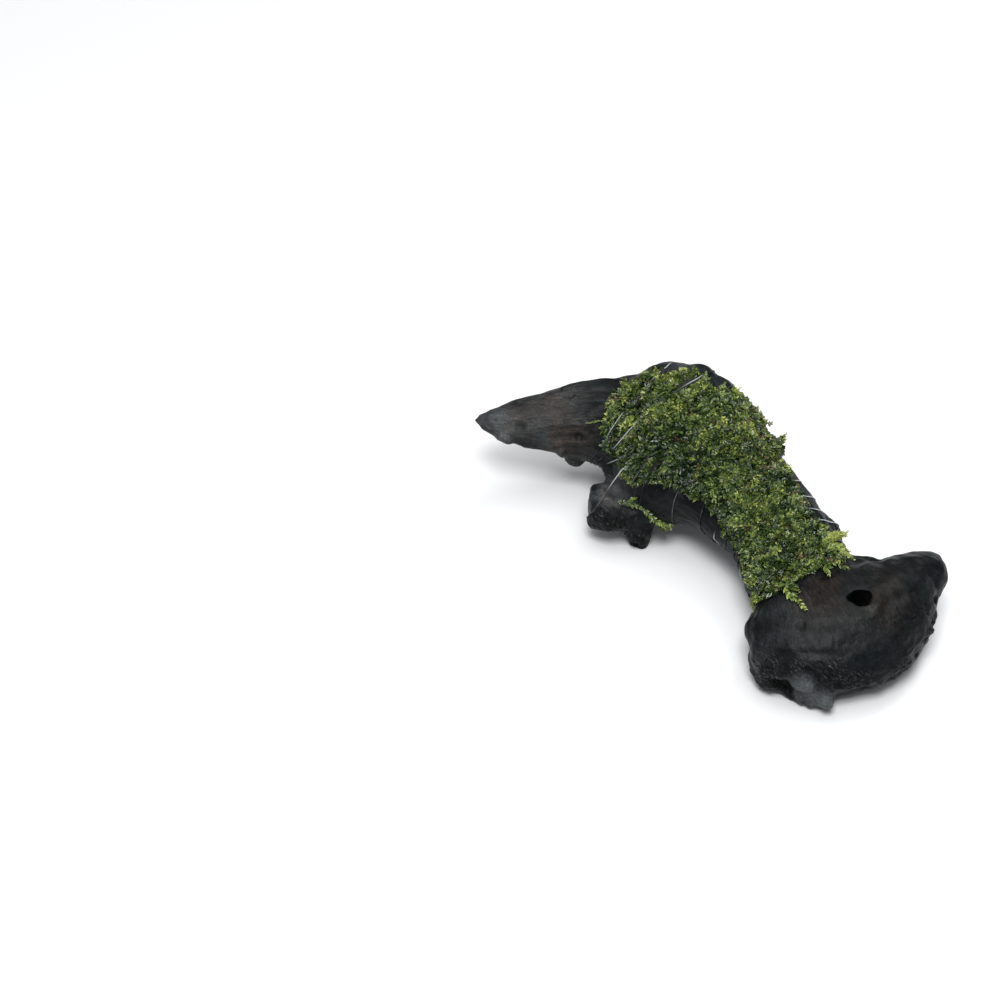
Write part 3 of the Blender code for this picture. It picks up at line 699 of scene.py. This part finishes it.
def wood_material():
    s = Shader("driftwood")
    first, second = s.stored("grain_a", True), s.stored("grain_b", True)
    share, torn, pale = s.stored("grain_share"), s.stored("torn"), s.stored("pale")

    def fibres(factors, size):
        return s.mixed(share, *[s.clouds(s.scaled(way, factors), size) for way in (first, second)])

    streaks, hairs = fibres(*STREAKS), fibres(*HAIRS)
    tears = s.clouds(s.scaled(s.stored("fibres", True), TEARS[0]), TEARS[1], 3)
    patches = s.clouds(s.place(), PATCH_SIZE)
    grit = s.clouds(s.place(), GRIT_SIZE, 3)

    brown = s.times(s.stored("brown"), s.stretch(patches, *BROWN_PATCHES))
    brown = s.times(brown, s.stretch(streaks, *BROWN_STREAKS))
    # Pale places are lighter: partly dry, bleached wood, partly painted sheen on the arm's top and back
    # rim and the hole's rim.
    bleached_and_sheen = s.stretch(s.mixed(GRIT_IN_STREAKS, streaks, grit), *BLEACHED_AND_SHEEN_STREAKS)
    dry_and_sheen = s.colours(brown, DRY_AND_SHEEN_BLACK, DRY_AND_SHEEN_BROWN)
    colour = s.colours(s.times(pale, bleached_and_sheen), s.colours(brown, BLACK, BROWN), dry_and_sheen)
    crests = s.times(torn, s.stretch(tears, *TORN_CRESTS))
    colour = s.colours(s.times(torn, TORN_DARK_SHARE), colour, TORN_DARK)
    # Painted glints on the torn crests.
    colour = s.colours(s.times(crests, CREST_GLINT_SHARE), colour, CREST_GLINT)
    # Painted shade in the hollows and on faces turned down, painted light on the ridges and faces turned
    # up; hairs and grit add real tone.
    lift = s.stretch(s.stored("height"), *HOLLOW_SHADE_LIFT)
    for value, reading in (hairs, HAIR_LIFT), (grit, GRIT_LIFT), (s.stored("upward"), TOP_LIGHT_LIFT):
        lift = s.times(lift, s.stretch(value, *reading))
    lift = s.mixed(s.times(pale, PALE_CALM), lift, 1.0)
    lift = s.node("CombineColor", {0: lift, 1: lift, 2: lift}).outputs[0]
    colour = s.colours(1.0, colour, lift, "MULTIPLY")

    rough = s.mixed(crests, s.stretch(streaks, *WOOD_ROUGHNESS), CREST_ROUGHNESS)
    gloss = s.mixed(crests, WOOD_GLOSS, CREST_GLOSS)
    normal = s.bump(streaks, STREAK_BUMP)
    normal = s.bump(hairs, HAIR_BUMP, normal)
    normal = s.bump(grit, GRIT_BUMP, normal)
    normal = s.bump(s.times(torn, tears), TEAR_BUMP, normal)
    return s.finish(Base_Color=colour, Roughness=rough, Specular_IOR_Level=gloss, Normal=normal)


def shade_bed_material():
    s = Shader("moss shade bed")
    tone = s.clouds(s.place(), BED_SIZE)
    colour = s.colours(tone, BED_DARK, BED_LIGHT)
    return s.finish(Base_Color=colour, Roughness=BED_ROUGHNESS, Normal=s.bump(tone, BED_BUMP))


def leaf_material():
    s = Shader("moss leaves")
    mottle = s.stretch(s.clouds(s.place(), MOTTLE_SIZE, 2), *MOTTLE)
    ramp = s.node("ValToRGB", {"Fac": s.plus(s.stored("tone"), mottle)})
    stops = ramp.color_ramp.elements
    for k, (position, colour) in enumerate(LEAF_COLOURS):
        stop = stops[k] if k < 2 else stops.new(position)
        stop.position = position
        stop.color = (*colour, 1)
    return s.finish(
        Base_Color=s.colours(s.stored("dead"), ramp.outputs["Color"], WITHERED_COLOUR),
        Roughness=LEAF_ROUGHNESS,
        Specular_IOR_Level=LEAF_GLOSS,
        Normal=s.bump(s.clouds(s.place(), VEIN_SIZE, 2), VEIN_BUMP),
    )


def line_material():
    s = Shader("clear line")
    # Painted highlight where the line is highlit, with the milky patches.
    milk_and_highlight = s.plus(s.stored("scuffed"), s.stretch(s.clouds(s.place(), MILK_AND_HIGHLIGHT_SIZE, 2), *MILK_AND_HIGHLIGHT))
    return s.finish(
        Base_Color=s.colours(milk_and_highlight, *LINE_COLOURS),
        Roughness=s.stretch(milk_and_highlight, 0, 1, *LINE_ROUGHNESS),
        IOR=NYLON_IOR,
        Specular_IOR_Level=s.stretch(milk_and_highlight, 0, 1, *LINE_GLOSS),
        Transmission_Weight=s.stretch(milk_and_highlight, 0, 1, *LINE_CLEARNESS),
    )


def floor_material():
    s = Shader("floor")
    tone = s.clouds(s.node("TexCoord", {}).outputs["Object"], FLOOR_CLOUDS, 2)
    return s.finish(Base_Color=s.colours(tone, *FLOOR_COLOURS), Roughness=FLOOR_ROUGHNESS)


# ---- the line's route
LINE_RADIUS = 0.15
IN_MOSS = 0.1  # how far the line is pressed in where it shows on the moss
UNDER_LEAVES = 1.2  # and how much further down it runs where the leaves have grown over it
# Where the line shows on the moss: centre and radius.
SHOWING = (
    (-25, 27, 32, 13), (-17, 38, 38, 8), (-7, 38, 40, 8), (-17, 15, 31, 8), (27, 2, 25, 6),
)
SHOWING_GAIN = 1.6
COVERED_SIZE = 4.0  # of the stretches in which the leaves have grown over it
RING_REACH = 2.3 * LINE_RADIUS  # the points of one ring of the CAD tube are this near to each other
ROUTE_STEP = 1.0
CONTACT = 1.4  # the CAD line lies on what is nearer to it than this
FREE_SHARE = 0.3  # of the pressing in is left where it lies on nothing
MOST_DRIFT = 0.7  # from the moss, while the line is tightened
TIGHTENED = 45  # rounds of drawing the line straight between the places where it touches
HIGHLIT_GAIN = 1.5
# Where the line is painted white as a highlight: centre and radius.
HIGHLIT_PLACES = (
    (-27, 19.5, 23, 7), (-33, 18, 17, 6), (-13, 44, 40, 5), (-5, 42, 41, 6), (-25, 28, 32, 9),
    (25, 16, 26, 8), (30.5, 6, 22.5, 9), (34, -2, 21, 8), (2, -1, 15, 4), (8, -14, 12, 4),
)


def tube_route(node):
    """The middle line of a CAD tube, from the rings of its mesh."""
    mesh = welded(node)
    mesh.verts.ensure_lookup_table()
    points = np.array([vertex.co for vertex in mesh.verts]) / MM
    search = search_tree(points)
    ring_of = np.full(len(points), -1)
    rings = []
    for k, point in enumerate(points):
        if ring_of[k] < 0:
            found = [n for _, n, _ in search.find_range(point, RING_REACH) if ring_of[n] < 0]
            ring_of[found] = len(rings)
            rings.append(points[found].mean(axis=0))
    joined = {k: set() for k in range(len(rings))}
    for edge in mesh.edges:
        one, two = (ring_of[vertex.index] for vertex in edge.verts)
        if one != two:
            joined[one].add(two)
            joined[two].add(one)
    mesh.free()
    route = [next(k for k, others in joined.items() if len(others) == 1)]
    while True:
        onward = [k for k in joined[route[-1]] if k not in route[-2:]]
        if not onward:
            break
        route.append(onward[0])
    return np.array([rings[k] for k in route])


def laid_route(route, moss, wood):
    """The route drawn in until it lies on the wood and is pressed into the moss, with rounded bends."""
    hidden = 1 - np.clip(within(route, SHOWING) * SHOWING_GAIN, 0, 1)
    hidden = np.clip(hidden + noise(route / COVERED_SIZE + 41), 0, 1)
    moves, held = [], []
    for point, share in zip(route, hidden):
        on_moss, _, _, moss_gap = moss.find_nearest(point)
        on_wood, _, _, wood_gap = wood.find_nearest(point)
        if moss_gap < wood_gap:
            target, sink = on_moss, IN_MOSS + UNDER_LEAVES * share
        else:
            target, sink = on_wood, 0.0
        inward = np.array(target) - point
        gap = np.linalg.norm(inward)
        move = gap - LINE_RADIUS + sink if gap < CONTACT else FREE_SHARE * sink
        moves.append(inward / gap * move)
        held.append(moss_gap < wood_gap)
    laid = start = route + np.array(moves)
    for _ in range(TIGHTENED):
        laid = laid.copy()
        laid[1:-1] = (laid[:-2] + 2 * laid[1:-1] + laid[2:]) / 4
        for k, point in enumerate(laid):
            if held[k]:
                drift = point - start[k]
                laid[k] = start[k] + drift * min(1, MOST_DRIFT / max(np.linalg.norm(drift), TINY))
            laid[k] = kept_off(laid[k], wood, LINE_RADIUS)
    return laid


def add_line(route):
    data = bpy.data.curves.new("nylon_line", "CURVE")
    data.dimensions = "3D"
    spline = data.splines.new("POLY")
    spline.points.add(len(route) - 1)
    for row, point in zip(spline.points, route):
        row.co = (*(point * MM), 1)
    data.bevel_depth = LINE_RADIUS * MM
    data.bevel_resolution = 2
    data.use_fill_caps = True
    line = add_object("nylon_line_visual", data)
    mesh = evaluated(line)
    bpy.data.objects.remove(line)
    line = add_object("clear_line", mesh)
    store(mesh, scuffed=np.minimum(1, HIGHLIT_GAIN * within(mesh_points(mesh), HIGHLIT_PLACES)))
    dress(mesh, line_material())
    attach(line, "root")
    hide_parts("nylon_line")


# ---- the moss
MAT_VOXEL, MAT_ROUNDS = 0.7, 3
OUTWARD = 0.3  # the mat's faces that look this much away from the wood are its top
NEAR_WOOD = 0.65  # the mat's points nearer to the wood than this are its underside
BED_SHARE = 0.5  # the bed's depth as a share of the mat's
BED_SUNK = 0.3  # its underside into the wood
BED_LUMPS = ((1.8, 0.25, 0),)
FRONDS = 3700
FROND_STEP = 0.72  # between two leaves of one side
LEAST_STEP = 0.18  # a frond whose path folds back on itself is left out
LEAST_POINTS, LEAST_LEFT = 5, 4  # in a frond's path, and where it is cut short
BEND = 0.07  # of a frond, at each step
RISEN = 0.6  # the share of its length within which a frond comes up
TIP_DEPTH = 0.4
SCATTER, WAY_SCATTER, ROLL_SCATTER = 0.3, 0.45, 25
PULL = 1.4  # of the line on the fronds' ways
RIM_WIDTH, RIM_SHARE = 4, 0.7  # so near to the rim this share of the fronds turns outwards
RIM_HOLD = 0.7  # how much such a frond keeps to its own way
FOOT_DEPTH, FOOT_RISE, FOOT_SCATTER = 1.8, 1.5, 0.25  # of the first fronds, up to the last
LIFTED_LAYERS = 0.35  # the fronds after this share of them may lift their tips
LIFTS, FROND_LENGTHS, LEAF_SIZES = (0.0, 0.9), (4.0, 9.0), (1.2, 2.3)
OVERHANGS, FAR_OVERHANG, NEAR_SHARE = (0.8, 2.0), 3.0, 0.85  # beyond the mat's rim
MIDDLE_TONE, TONE_SCATTER = 0.45, 0.13
TONE_LUMPS = ((6.5, 0.15, 5), (2.4, 0.18, 9))
# What a frond's tone gains with its layer, at the rim and on a clump, and loses in a furrow: painted
# shade on the lower layers and in the furrows, painted light on the upper layers, the backlit rim and the
# clumps' tops.
LAYER_SHADE_TONE, RIM_LIGHT_TONE, CLUMP_LIGHT_TONE, FURROW_SHADE_TONE = 0.38, 0.08, 0.27, 0.32
# How brown a withered frond is, and how often one is, outside the withered places and more in them.
WITHERED_BROWN, WITHERED_SHARE, WITHERED_MORE, FADED = 0.75, 0.02, 0.3, 0.15
OFF_MAT = 0.75
LYING = 0.55  # above the wood
HUMP = 0.35  # how far the moss stands above the mat between the line's turns
CLUMP_HEIGHT = 0.7
CLUMP_SIZE = 3.4
COMBED = 7.0  # the fronds within about this of each other lie roughly one way
PRESSED = 1.5  # how far the line presses the leaves in beside it
PRESSED_MORE = 1.8  # and how much further where it shows
FURROW = 1.2  # and out to about this from the line
PIECES = 4  # the fronds are shared out over this many objects
# Where the moss is thinner: centre, radius and depth.
THIN_PLACES = (
    (14, 33, 33, 5, 0.7), (18, 29, 31, 7.5, 2.2), (23.5, 20, 28.6, 7.5, 3),
)
# Where the moss is lighter or darker: centre, radius and change of tone.
TONE_PLACES = (
    (-16.5, 42.5, 38, 7, 0.13), (-24, 39, 35, 7, 0.10), (-2, 39, 40.5, 6, 0.06),
    (11, 36.5, 34, 8, 0.13), (18, 31, 30, 7, 0.12), (33, -14, 26, 8, 0.14),
    (23, -24, 22.5, 7, 0.08), (-27, 15, 26, 6, 0.06), (-9, 18, 34, 12, -0.12),
    (-3, 11.5, 30.5, 11, -0.32), (2, 3, 27, 8, -0.12), (14, 6, 31.5, 8, -0.17),
    (15.5, -12, 29, 7, -0.20), (24, -17, 27.5, 6, -0.24), (17, -24, 24, 5, -0.28),
    (-14, 27, 36, 9, 0.12), (4, 27, 36, 8, 0.08), (-22, 24, 32, 8, -0.05),
)
# Where some of the fronds are brown: centre and radius.
WITHERED = (
    (-20, 43, 36.5, 3.5), (13, 19, 33.5, 5), (15, 10, 32, 4.5), (12, 33, 34.5, 5),
    (0.5, 1.5, 24, 4),
)


def add_bed(form, wood):
    """A lumpy mat under the leaves, painted near black for the shade in the gaps between them."""
    mesh = form.data
    points = mesh_points(mesh)
    for k, point in enumerate(points):
        spot, normal, _, gap = wood.find_nearest(point)
        if gap > NEAR_WOOD:
            points[k] = np.array(spot) + (point - spot) * BED_SHARE
        else:
            points[k] = np.array(spot - normal * BED_SUNK)
    points += mesh_normals(mesh) * layered(points, BED_LUMPS)[:, None]
    move_points(mesh, points)
    dress(mesh, shade_bed_material())
    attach(form, "root")
    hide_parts("moss_mat")


class Ground:
    """Where the fronds lie: on the mat's top, or just above the wood beyond its rim."""

    def __init__(self, form, wood, line):
        mesh = form.data
        self.wood = wood
        points = mesh_points(mesh)
        away = unit(np.array([point - np.array(wood.find_nearest(point)[0]) for point in points]))
        corners = np.array([tuple(polygon.vertices) for polygon in mesh.polygons])
        is_top = dots(away, mesh_normals(mesh))[corners].min(axis=1) > OUTWARD
        self.top = tree_of(mesh, np.flatnonzero(is_top))
        corners = corners[is_top]
        sides = np.stack([corners, np.roll(corners, -1, axis=1)], axis=2).reshape(-1, 2)
        sides, uses = np.unique(np.sort(sides, axis=1), axis=0, return_counts=True)
        self.rim = search_tree(points[sides[uses == 1]].mean(axis=1))
        quads = points[corners]
        self.middles = quads.mean(axis=1)
        areas = lengths(np.cross(quads[:, 2] - quads[:, 0], quads[:, 3] - quads[:, 1]))
        self.shares = areas / areas.sum()
        self.line = search_tree(line)
        self.ways = unit(np.gradient(line, axis=0))

    def lump(self, point):
        """How far the moss stands proud of the mat in clumps, or is pressed in by the line."""
        pressed = PRESSED + PRESSED_MORE * within(np.array(point)[None], SHOWING)[0]
        proud = CLUMP_HEIGHT * noise_at(point / CLUMP_SIZE) + HUMP
        return proud - pressed * self.furrow(point) - thinner(point)

    def furrow(self, point):
        gap = self.line.find(point)[2]
        return math.exp(-((gap / FURROW) ** 2))

    def settle(self, point, depth):
        """The nearest place for a frond, the way out from it, and how far it is beyond the mat."""
        spot, normal, _, _ = self.top.find_nearest(point)
        aside = Vector(point) - spot
        aside -= normal * aside.dot(normal)
        if aside.length < OFF_MAT:
            return np.array(spot + normal * (self.lump(spot) - depth)), np.array(normal), 0.0
        beyond = aside.length
        spot, normal, _, _ = self.wood.find_nearest(point)
        return np.array(spot + normal * LYING), np.array(normal), beyond


def thinner(point):
    """How much lower the moss is at a point."""
    point = np.array(point)[None]
    return max(depth * near(point, centre, radius)[0] for *centre, radius, depth in THIN_PLACES)


def levelled(heading, out):
    """The heading without its part along the way out, brought back to a length of one."""
    heading = heading - out * (heading @ out)
    return heading / np.linalg.norm(heading)


def grow(ground, start, heading, length, depth, lift, over):
    """A frond's path over the moss from its hidden foot to its tip, and the ways out from its points."""
    count = max(LEAST_POINTS, round(length / FROND_STEP))
    here, out, _ = ground.settle(start, depth)
    heading = levelled(heading, out)
    bend = random.normal() * BEND
    side = np.cross(out, heading)
    path, outs = [], []
    for k in range(count):
        t = k / (count - 1)
        sunk = depth * (1 - smoothstep(0, RISEN, t)) + TIP_DEPTH - lift * t**2
        spot, out, beyond = ground.settle(here, sunk)
        if beyond > over:
            break
        path.append(spot)
        outs.append(out)
        heading = levelled(heading + side * bend, out)
        side = np.cross(out, heading)
        here = spot + heading * FROND_STEP
    return np.array(path), np.array(outs)


STEM = 0.07
STEM_TONE, STEM_BROWN = 0.8, 0.25
SPREAD, SPREAD_SCATTER = 42, 13  # of the leaves from the stem, in degrees
RISE, LEAN, LEAN_BACK, LEAN_SCATTER, CURL = (0.12, 0.32), 0.4, -0.1, 0.4, 0.1
LONG, WIDE = (0.8, 1.2), (0.21, 0.31)  # a leaf's length, and half its width as a share of that
# The leaves' length at a frond's foot and how much it swells, over this share of the frond, and shrinks.
FOOT_LENGTH, SWELL, SWELL_TURN, SHRINK = 0.65, 0.35, 1.4, 0.4
# A frond's tone rises from its foot to its tip: painted shade at the foot, deep in the moss, and painted
# light at the tip.
TIP_LIGHT_TONE, LEAF_SCATTER = 0.3, 0.12
# A leaf's rim and then its middle: shares of its length along it, of its half width and of its length up.
LEAF = (
    (0, 0, 0),
    (0.26, -0.86, 0.09),
    (0.64, -0.80, 0.06),
    (1, 0, -0.04),
    (0.64, 0.80, 0.06),
    (0.26, 0.86, 0.09),
    (0.46, 0, -0.03),
)
RIM = len(LEAF) - 1
LEAF_TONE = np.array([-0.10, 0.0, 0.03, 0.08, 0.03, 0.0, -0.03])


class Leaves:
    """Collects fronds: small pointed leaves in two rows along thin stems."""

    def __init__(self):
        self.points, self.faces, self.tone, self.dead = [], [], [], []
        self.count = 0

    def add(self, points, faces, tone, dead):
        self.points.append(points)
        self.faces.append(faces + self.count)
        self.tone.append(tone)
        self.dead.append(dead)
        self.count += len(points)

    def frond(self, path, outs, size, tone, dead, roll=0, spread=SPREAD):
        """One frond along a path. Size is the length of its longest leaves."""
        count = len(path)
        ahead = unit(np.gradient(path, axis=0))
        outs = unit(outs - ahead * dots(outs, ahead)[:, None])
        side = np.cross(outs, ahead)
        cos, sin = math.cos(math.radians(roll)), math.sin(math.radians(roll))
        side, outs = side * cos + outs * sin, outs * cos - side * sin
        t = np.linspace(0, 1, count)
        scale = FOOT_LENGTH + SWELL * np.sin(np.pi * np.minimum(1, t * SWELL_TURN))
        scale = size * scale * (1 - SHRINK * t**3)

        strip = np.concatenate([path - side * STEM, path + side * STEM])
        k = np.arange(count - 1)
        halves = (k, k + 1, k + count), (k + 1, k + 1 + count, k + count)
        faces = np.concatenate([np.column_stack(half) for half in halves])
        brown = np.full(2 * count, min(1, dead + STEM_BROWN))
        self.add(strip, faces, np.full(2 * count, tone * STEM_TONE), brown)
        for way in (-1, 1):
            self.row(path, ahead, outs, side * way, scale, tone + TIP_LIGHT_TONE * (t - 0.5), dead, spread)

    def row(self, path, ahead, outs, side, scale, tone, dead, spread):
        """A row of leaves along one side of a stem."""
        n = len(path)
        angle = np.radians(spread + random.normal(0, SPREAD_SCATTER, n))[:, None]
        out_way = ahead * np.cos(angle) + side * np.sin(angle)
        out_way = unit(out_way + outs * random.normal(*RISE, n)[:, None])
        lean = side * random.normal(0, LEAN, n)[:, None]
        lean = lean + ahead * random.normal(LEAN_BACK, LEAN_SCATTER, n)[:, None]
        across = unit(np.cross(outs + lean, out_way))
        flat = np.cross(out_way, across)
        long = (scale * random.uniform(*LONG, n))[:, None]
        wide = long * random.uniform(*WIDE, n)[:, None]
        curl = random.normal(0, CURL, n)[:, None]
        base = path + side * STEM / 2
        parts = []
        for along, beside, up in LEAF:
            rise = flat * long * (up + curl * along**2)
            parts.append(base + out_way * long * along + across * wide * beside + rise)
        corners = np.array([(k, (k + 1) % RIM, RIM) for k in range(RIM)])
        faces = (np.arange(n)[:, None, None] * len(LEAF) + corners).reshape(-1, 3)
        shade = (tone + random.normal(0, LEAF_SCATTER, n))[:, None] + LEAF_TONE[None]
        points = np.stack(parts, axis=1).reshape(-1, 3)
        self.add(points, faces, shade.ravel(), np.full(shade.size, dead))

    def finish(self, name, material):
        mesh = bpy.data.meshes.new(name)
        points, faces = np.concatenate(self.points), np.concatenate(self.faces)
        mesh.vertices.add(len(points))
        mesh.loops.add(3 * len(faces))
        mesh.polygons.add(len(faces))
        mesh.loops.foreach_set("vertex_index", faces.astype(np.int32).ravel())
        mesh.polygons.foreach_set("loop_start", np.arange(0, 3 * len(faces), 3, dtype=np.int32))
        mesh.update(calc_edges=True)
        move_points(mesh, points)
        tone, dead = (np.clip(np.concatenate(looks), 0, 1) for looks in (self.tone, self.dead))
        store(mesh, tone=tone, dead=dead)
        mesh.materials.append(material)
        obj = add_object(name, mesh)
        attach(obj, "root")


def add_fronds(ground, material):
    batches = [Leaves() for _ in range(PIECES)]
    places = ground.middles[random.choice(len(ground.middles), FRONDS, p=ground.shares)]
    tones = layered(places, TONE_LUMPS, MIDDLE_TONE)
    for *centre, radius, change in TONE_PLACES:
        tones += change * near(places, centre, radius)
    withered = within(places, WITHERED)
    combed = np.column_stack([noise(places / COMBED + pattern) for pattern in (61, 67, 71)])
    for k, place in enumerate(places):
        start = place + random.normal(0, SCATTER, 3)
        rim, _, inset = ground.rim.find(start)
        out = np.array(ground.top.find_nearest(start)[1])
        pulled = ground.ways[ground.line.find(start)[1]] * random.choice((-1, 1))
        heading = random.normal(0, WAY_SCATTER, 3) + combed[k] + pulled * PULL
        if inset < RIM_WIDTH and random.random() < RIM_SHARE:
            heading = unit(heading) * RIM_HOLD + unit(np.array(rim) - start)
        heading -= out * (heading @ out)
        layer = k / FRONDS
        depth = FOOT_DEPTH - FOOT_RISE * layer + abs(random.normal(0, FOOT_SCATTER))
        lift = random.uniform(*LIFTS) if layer > LIFTED_LAYERS else 0.0
        length = random.uniform(*FROND_LENGTHS)
        over = random.uniform(*OVERHANGS) if random.random() < NEAR_SHARE else FAR_OVERHANG
        over -= min(over, thinner(place))
        path, outs = grow(ground, start, unit(heading), length, depth, lift, over)
        if len(path) < LEAST_LEFT or lengths(np.gradient(path, axis=0)).min() < LEAST_STEP:
            continue
        middle = Vector(path[len(path) // 2])
        # Painted light and shade: lower layers and furrows darker, upper layers, the rim and the clumps'
        # tops lighter.
        tone = tones[k] + random.normal(0, TONE_SCATTER) + LAYER_SHADE_TONE * (layer - 0.5)
        tone += RIM_LIGHT_TONE * smoothstep(RIM_WIDTH, 0, inset)
        tone += CLUMP_LIGHT_TONE * noise_at(middle / CLUMP_SIZE) - FURROW_SHADE_TONE * ground.furrow(middle)
        is_withered = random.random() < WITHERED_SHARE + WITHERED_MORE * withered[k]
        dead = WITHERED_BROWN if is_withered else FADED * withered[k]
        size = random.uniform(*LEAF_SIZES)
        roll = random.normal(0, ROLL_SCATTER)
        batches[k * PIECES // FRONDS].frond(path, outs, size, tone, dead, roll)
    for number, batch in enumerate(batches):
        batch.finish(f"moss_fronds_{number + 1}", material)


# Single fronds that stand out: points on or above the surface, leaf size, tone and share of brown.
LONE_FRONDS = (
    (((18.6, -24.4, 22.4), (20, -28.4, 23.4), (21.4, -31.8, 24),
      (23, -34.4, 24.3), (24.2, -36.6, 23.9)), 2.3, 0.74, 0),
    (((20.4, -25.6, 23.2), (21.4, -28, 24), (23, -30.2, 24.4)), 1.9, 0.62, 0),
    (((18.2, -24.6, 22.2), (17.6, -26.6, 22.4), (17, -28.2, 22.3)), 1.5, 0.70, 0.3),
    (((31.2, -20, 25.4), (31.6, -22.4, 25.6), (31.8, -24.8, 25.2)), 1.9, 0.66, 0),
    (((35, -19.4, 24.4), (36.2, -20.6, 24.2), (37.6, -21.6, 23.6)), 1.3, 0.55, 0.2),
    (((-26.4, 13, 16.8), (-22.9, 11.9, 16.6), (-20, 11.1, 16.2), (-17.6, 9.9, 15.2)), 1.4, 0.62, 0.1),
    (((-19, 10.9, 15.9), (-16.4, 9.6, 14.4), (-13.8, 8.6, 12), (-11, 8, 10.2)), 1.8, 0.68, 0),
    (((-15.2, 8.8, 13.2), (-12.6, 8.6, 12), (-10.4, 8.4, 11.2)), 1.6, 0.76, 0),
    (((-14.6, 8.6, 12.4), (-13.4, 8.2, 10.6), (-12, 8, 9.6)), 1.3, 0.58, 0),
    (((-23.4, 12.2, 16.8), (-22.2, 12.8, 17.6), (-20.8, 13, 18)), 1.1, 0.66, 0),
    (((-31, 34.4, 28.9), (-32.6, 34.2, 28.6), (-34.3, 34.3, 28), (-35.4, 34.8, 27.6)), 0.5, 0.75, 0.1),
)
CLEAR = 0.5  # of the wood's surface, at least
LEAF_SPACING = 0.3  # of a frond's leaves, as a share of their length
LEAST_LEAVES = 6
FINE_STEP = 0.05
LONE_OUT = np.array([0.0, -0.35, 1.0])
LONE_SPREAD = 40
TUFT_FOOT = 0.4  # the share of its length by which a tuft's frond begins inside the moss
TUFT_SAG = 0.12
TUFT_REACHES, TUFT_OUT = (0.7, 1.1), (0, -0.6, 0.6)
# How much a tuft's fronds differ: in heading, place, way out and tone.
TURNED, SHIFTED, TURNED_OUT, TONED = 0.28, 0.6, 0.5, 0.05
# Tufts at the mat's rim: foot, way out, length, number of fronds, leaf size, tone, share of brown.
TUFTS = (
    ((-22, 42, 35.6), (-0.9, 0.25, 0.35), 4, 4, 1.5, 0.66, 0),
    ((-15, 43, 38.6), (0.2, 0.5, 0.6), 2, 4, 1.3, 0.74, 0),
    ((-3.5, 42.4, 41), (0.4, 0.6, 0.3), 2.2, 3, 1.3, 0.62, 0),
    ((0.5, 41.6, 39.6), (0.5, 0.6, 0.3), 2.4, 4, 1.3, 0.60, 0),
    ((4, 39.6, 38), (0.5, 0.6, 0.3), 2.4, 4, 1.3, 0.66, 0),
    ((8, 37.4, 36.4), (0.4, 0.5, 0.8), 2.6, 4, 1.4, 0.92, 0),
    ((14.7, 34.6, 32.5), (0.6, 0.3, 0.8), 1.8, 3, 1.1, 0.80, 0.1),
    ((17.8, 31, 30.6), (0.7, 0.3, 0.6), 1.6, 3, 1.1, 0.76, 0.3),
    ((21, 26, 28.6), (0.8, 0.4, 0.6), 2.2, 3, 1.2, 0.78, 0),
    ((25, 16, 26.5), (0.9, 0.2, 0.3), 2, 3, 1.2, 0.74, 0),
    ((33, -12.5, 26.2), (0.9, 0.2, 0.35), 5, 8, 1.3, 0.96, 0),
    ((35, -15, 25), (0.95, -0.1, 0.1), 4.4, 6, 1.3, 0.92, 0),
    ((34, -10, 25), (0.9, 0.5, 0.2), 2.6, 5, 1.3, 0.84, 0),
    ((12.5, -24, 17), (-0.5, -0.8, -0.3), 2.6, 5, 1.2, 0.70, 0),
    ((30, -15, 27), (0.5, -0.4, 0.6), 3, 4, 1.5, 0.66, 0),
    ((-30, 15, 24), (-0.5, -0.6, -0.3), 2.4, 4, 1.3, 0.66, 0),
    ((9.5, -28.5, 17.5), (-0.2, -0.7, -0.3), 3, 4, 1.4, 0.62, 0),
)


def leaf_count(length, size):
    return max(LEAST_LEAVES, round(length / (LEAF_SPACING * size)))


def add_lone_fronds(ground, material):
    batch = Leaves()
    for points, size, tone, dead in LONE_FRONDS:
        path = densified(np.array(points, float), FINE_STEP)
        run = run_of(path)
        even = np.linspace(0, run[-1], leaf_count(run[-1], size))
        path = np.column_stack([np.interp(even, run, column) for column in path.T])
        path = np.array([kept_off(point, ground.wood, CLEAR) for point in path])
        outs = np.tile(unit(LONE_OUT), (len(path), 1))
        batch.frond(path, outs, size, tone, dead, spread=LONE_SPREAD)
    for foot, way, length, count, size, tone, dead in TUFTS:
        foot = np.array(ground.top.find_nearest(foot)[0])
        for _ in range(count):
            heading = unit(np.array(way) + random.normal(0, TURNED, 3))
            reach = length * random.uniform(*TUFT_REACHES)
            t = np.linspace(-TUFT_FOOT, 1, leaf_count((1 + TUFT_FOOT) * reach, size))[:, None]
            path = foot + random.normal(0, SHIFTED, 3) + heading * t * reach
            path[:, 2:] -= TUFT_SAG * reach * t**2
            outs = np.tile(unit(random.normal(0, TURNED_OUT, 3) + TUFT_OUT), (len(path), 1))
            shade = tone + random.normal(0, TONED)
            batch.frond(path, outs, size, shade, dead, spread=LONE_SPREAD)
    batch.finish("moss_lone_fronds", material)


FLOOR_HALF = 3  # in metres


def add_floor():
    mesh = bmesh.new()
    bmesh.ops.create_grid(mesh, x_segments=1, y_segments=1, size=FLOOR_HALF)
    floor = add_object("floor", finished(mesh, "floor"))
    floor.data.materials.append(floor_material())


# ---- build
wood = add_wood()
wood_tree = tree_of(wood.data)
mat = fused("moss_shade_bed", ["moss_mat"], 0, MAT_VOXEL)
move_points(mat.data, relaxed(mesh_points(mat.data), mesh_edges(mat.data), MAT_ROUNDS))
route = laid_route(densified(tube_route("nylon_line"), ROUTE_STEP), tree_of(mat.data), wood_tree)
ground = Ground(mat, wood_tree, route)
leaves = leaf_material()
add_fronds(ground, leaves)
add_lone_fronds(ground, leaves)
add_bed(mat, wood_tree)
add_line(route)
add_floor()
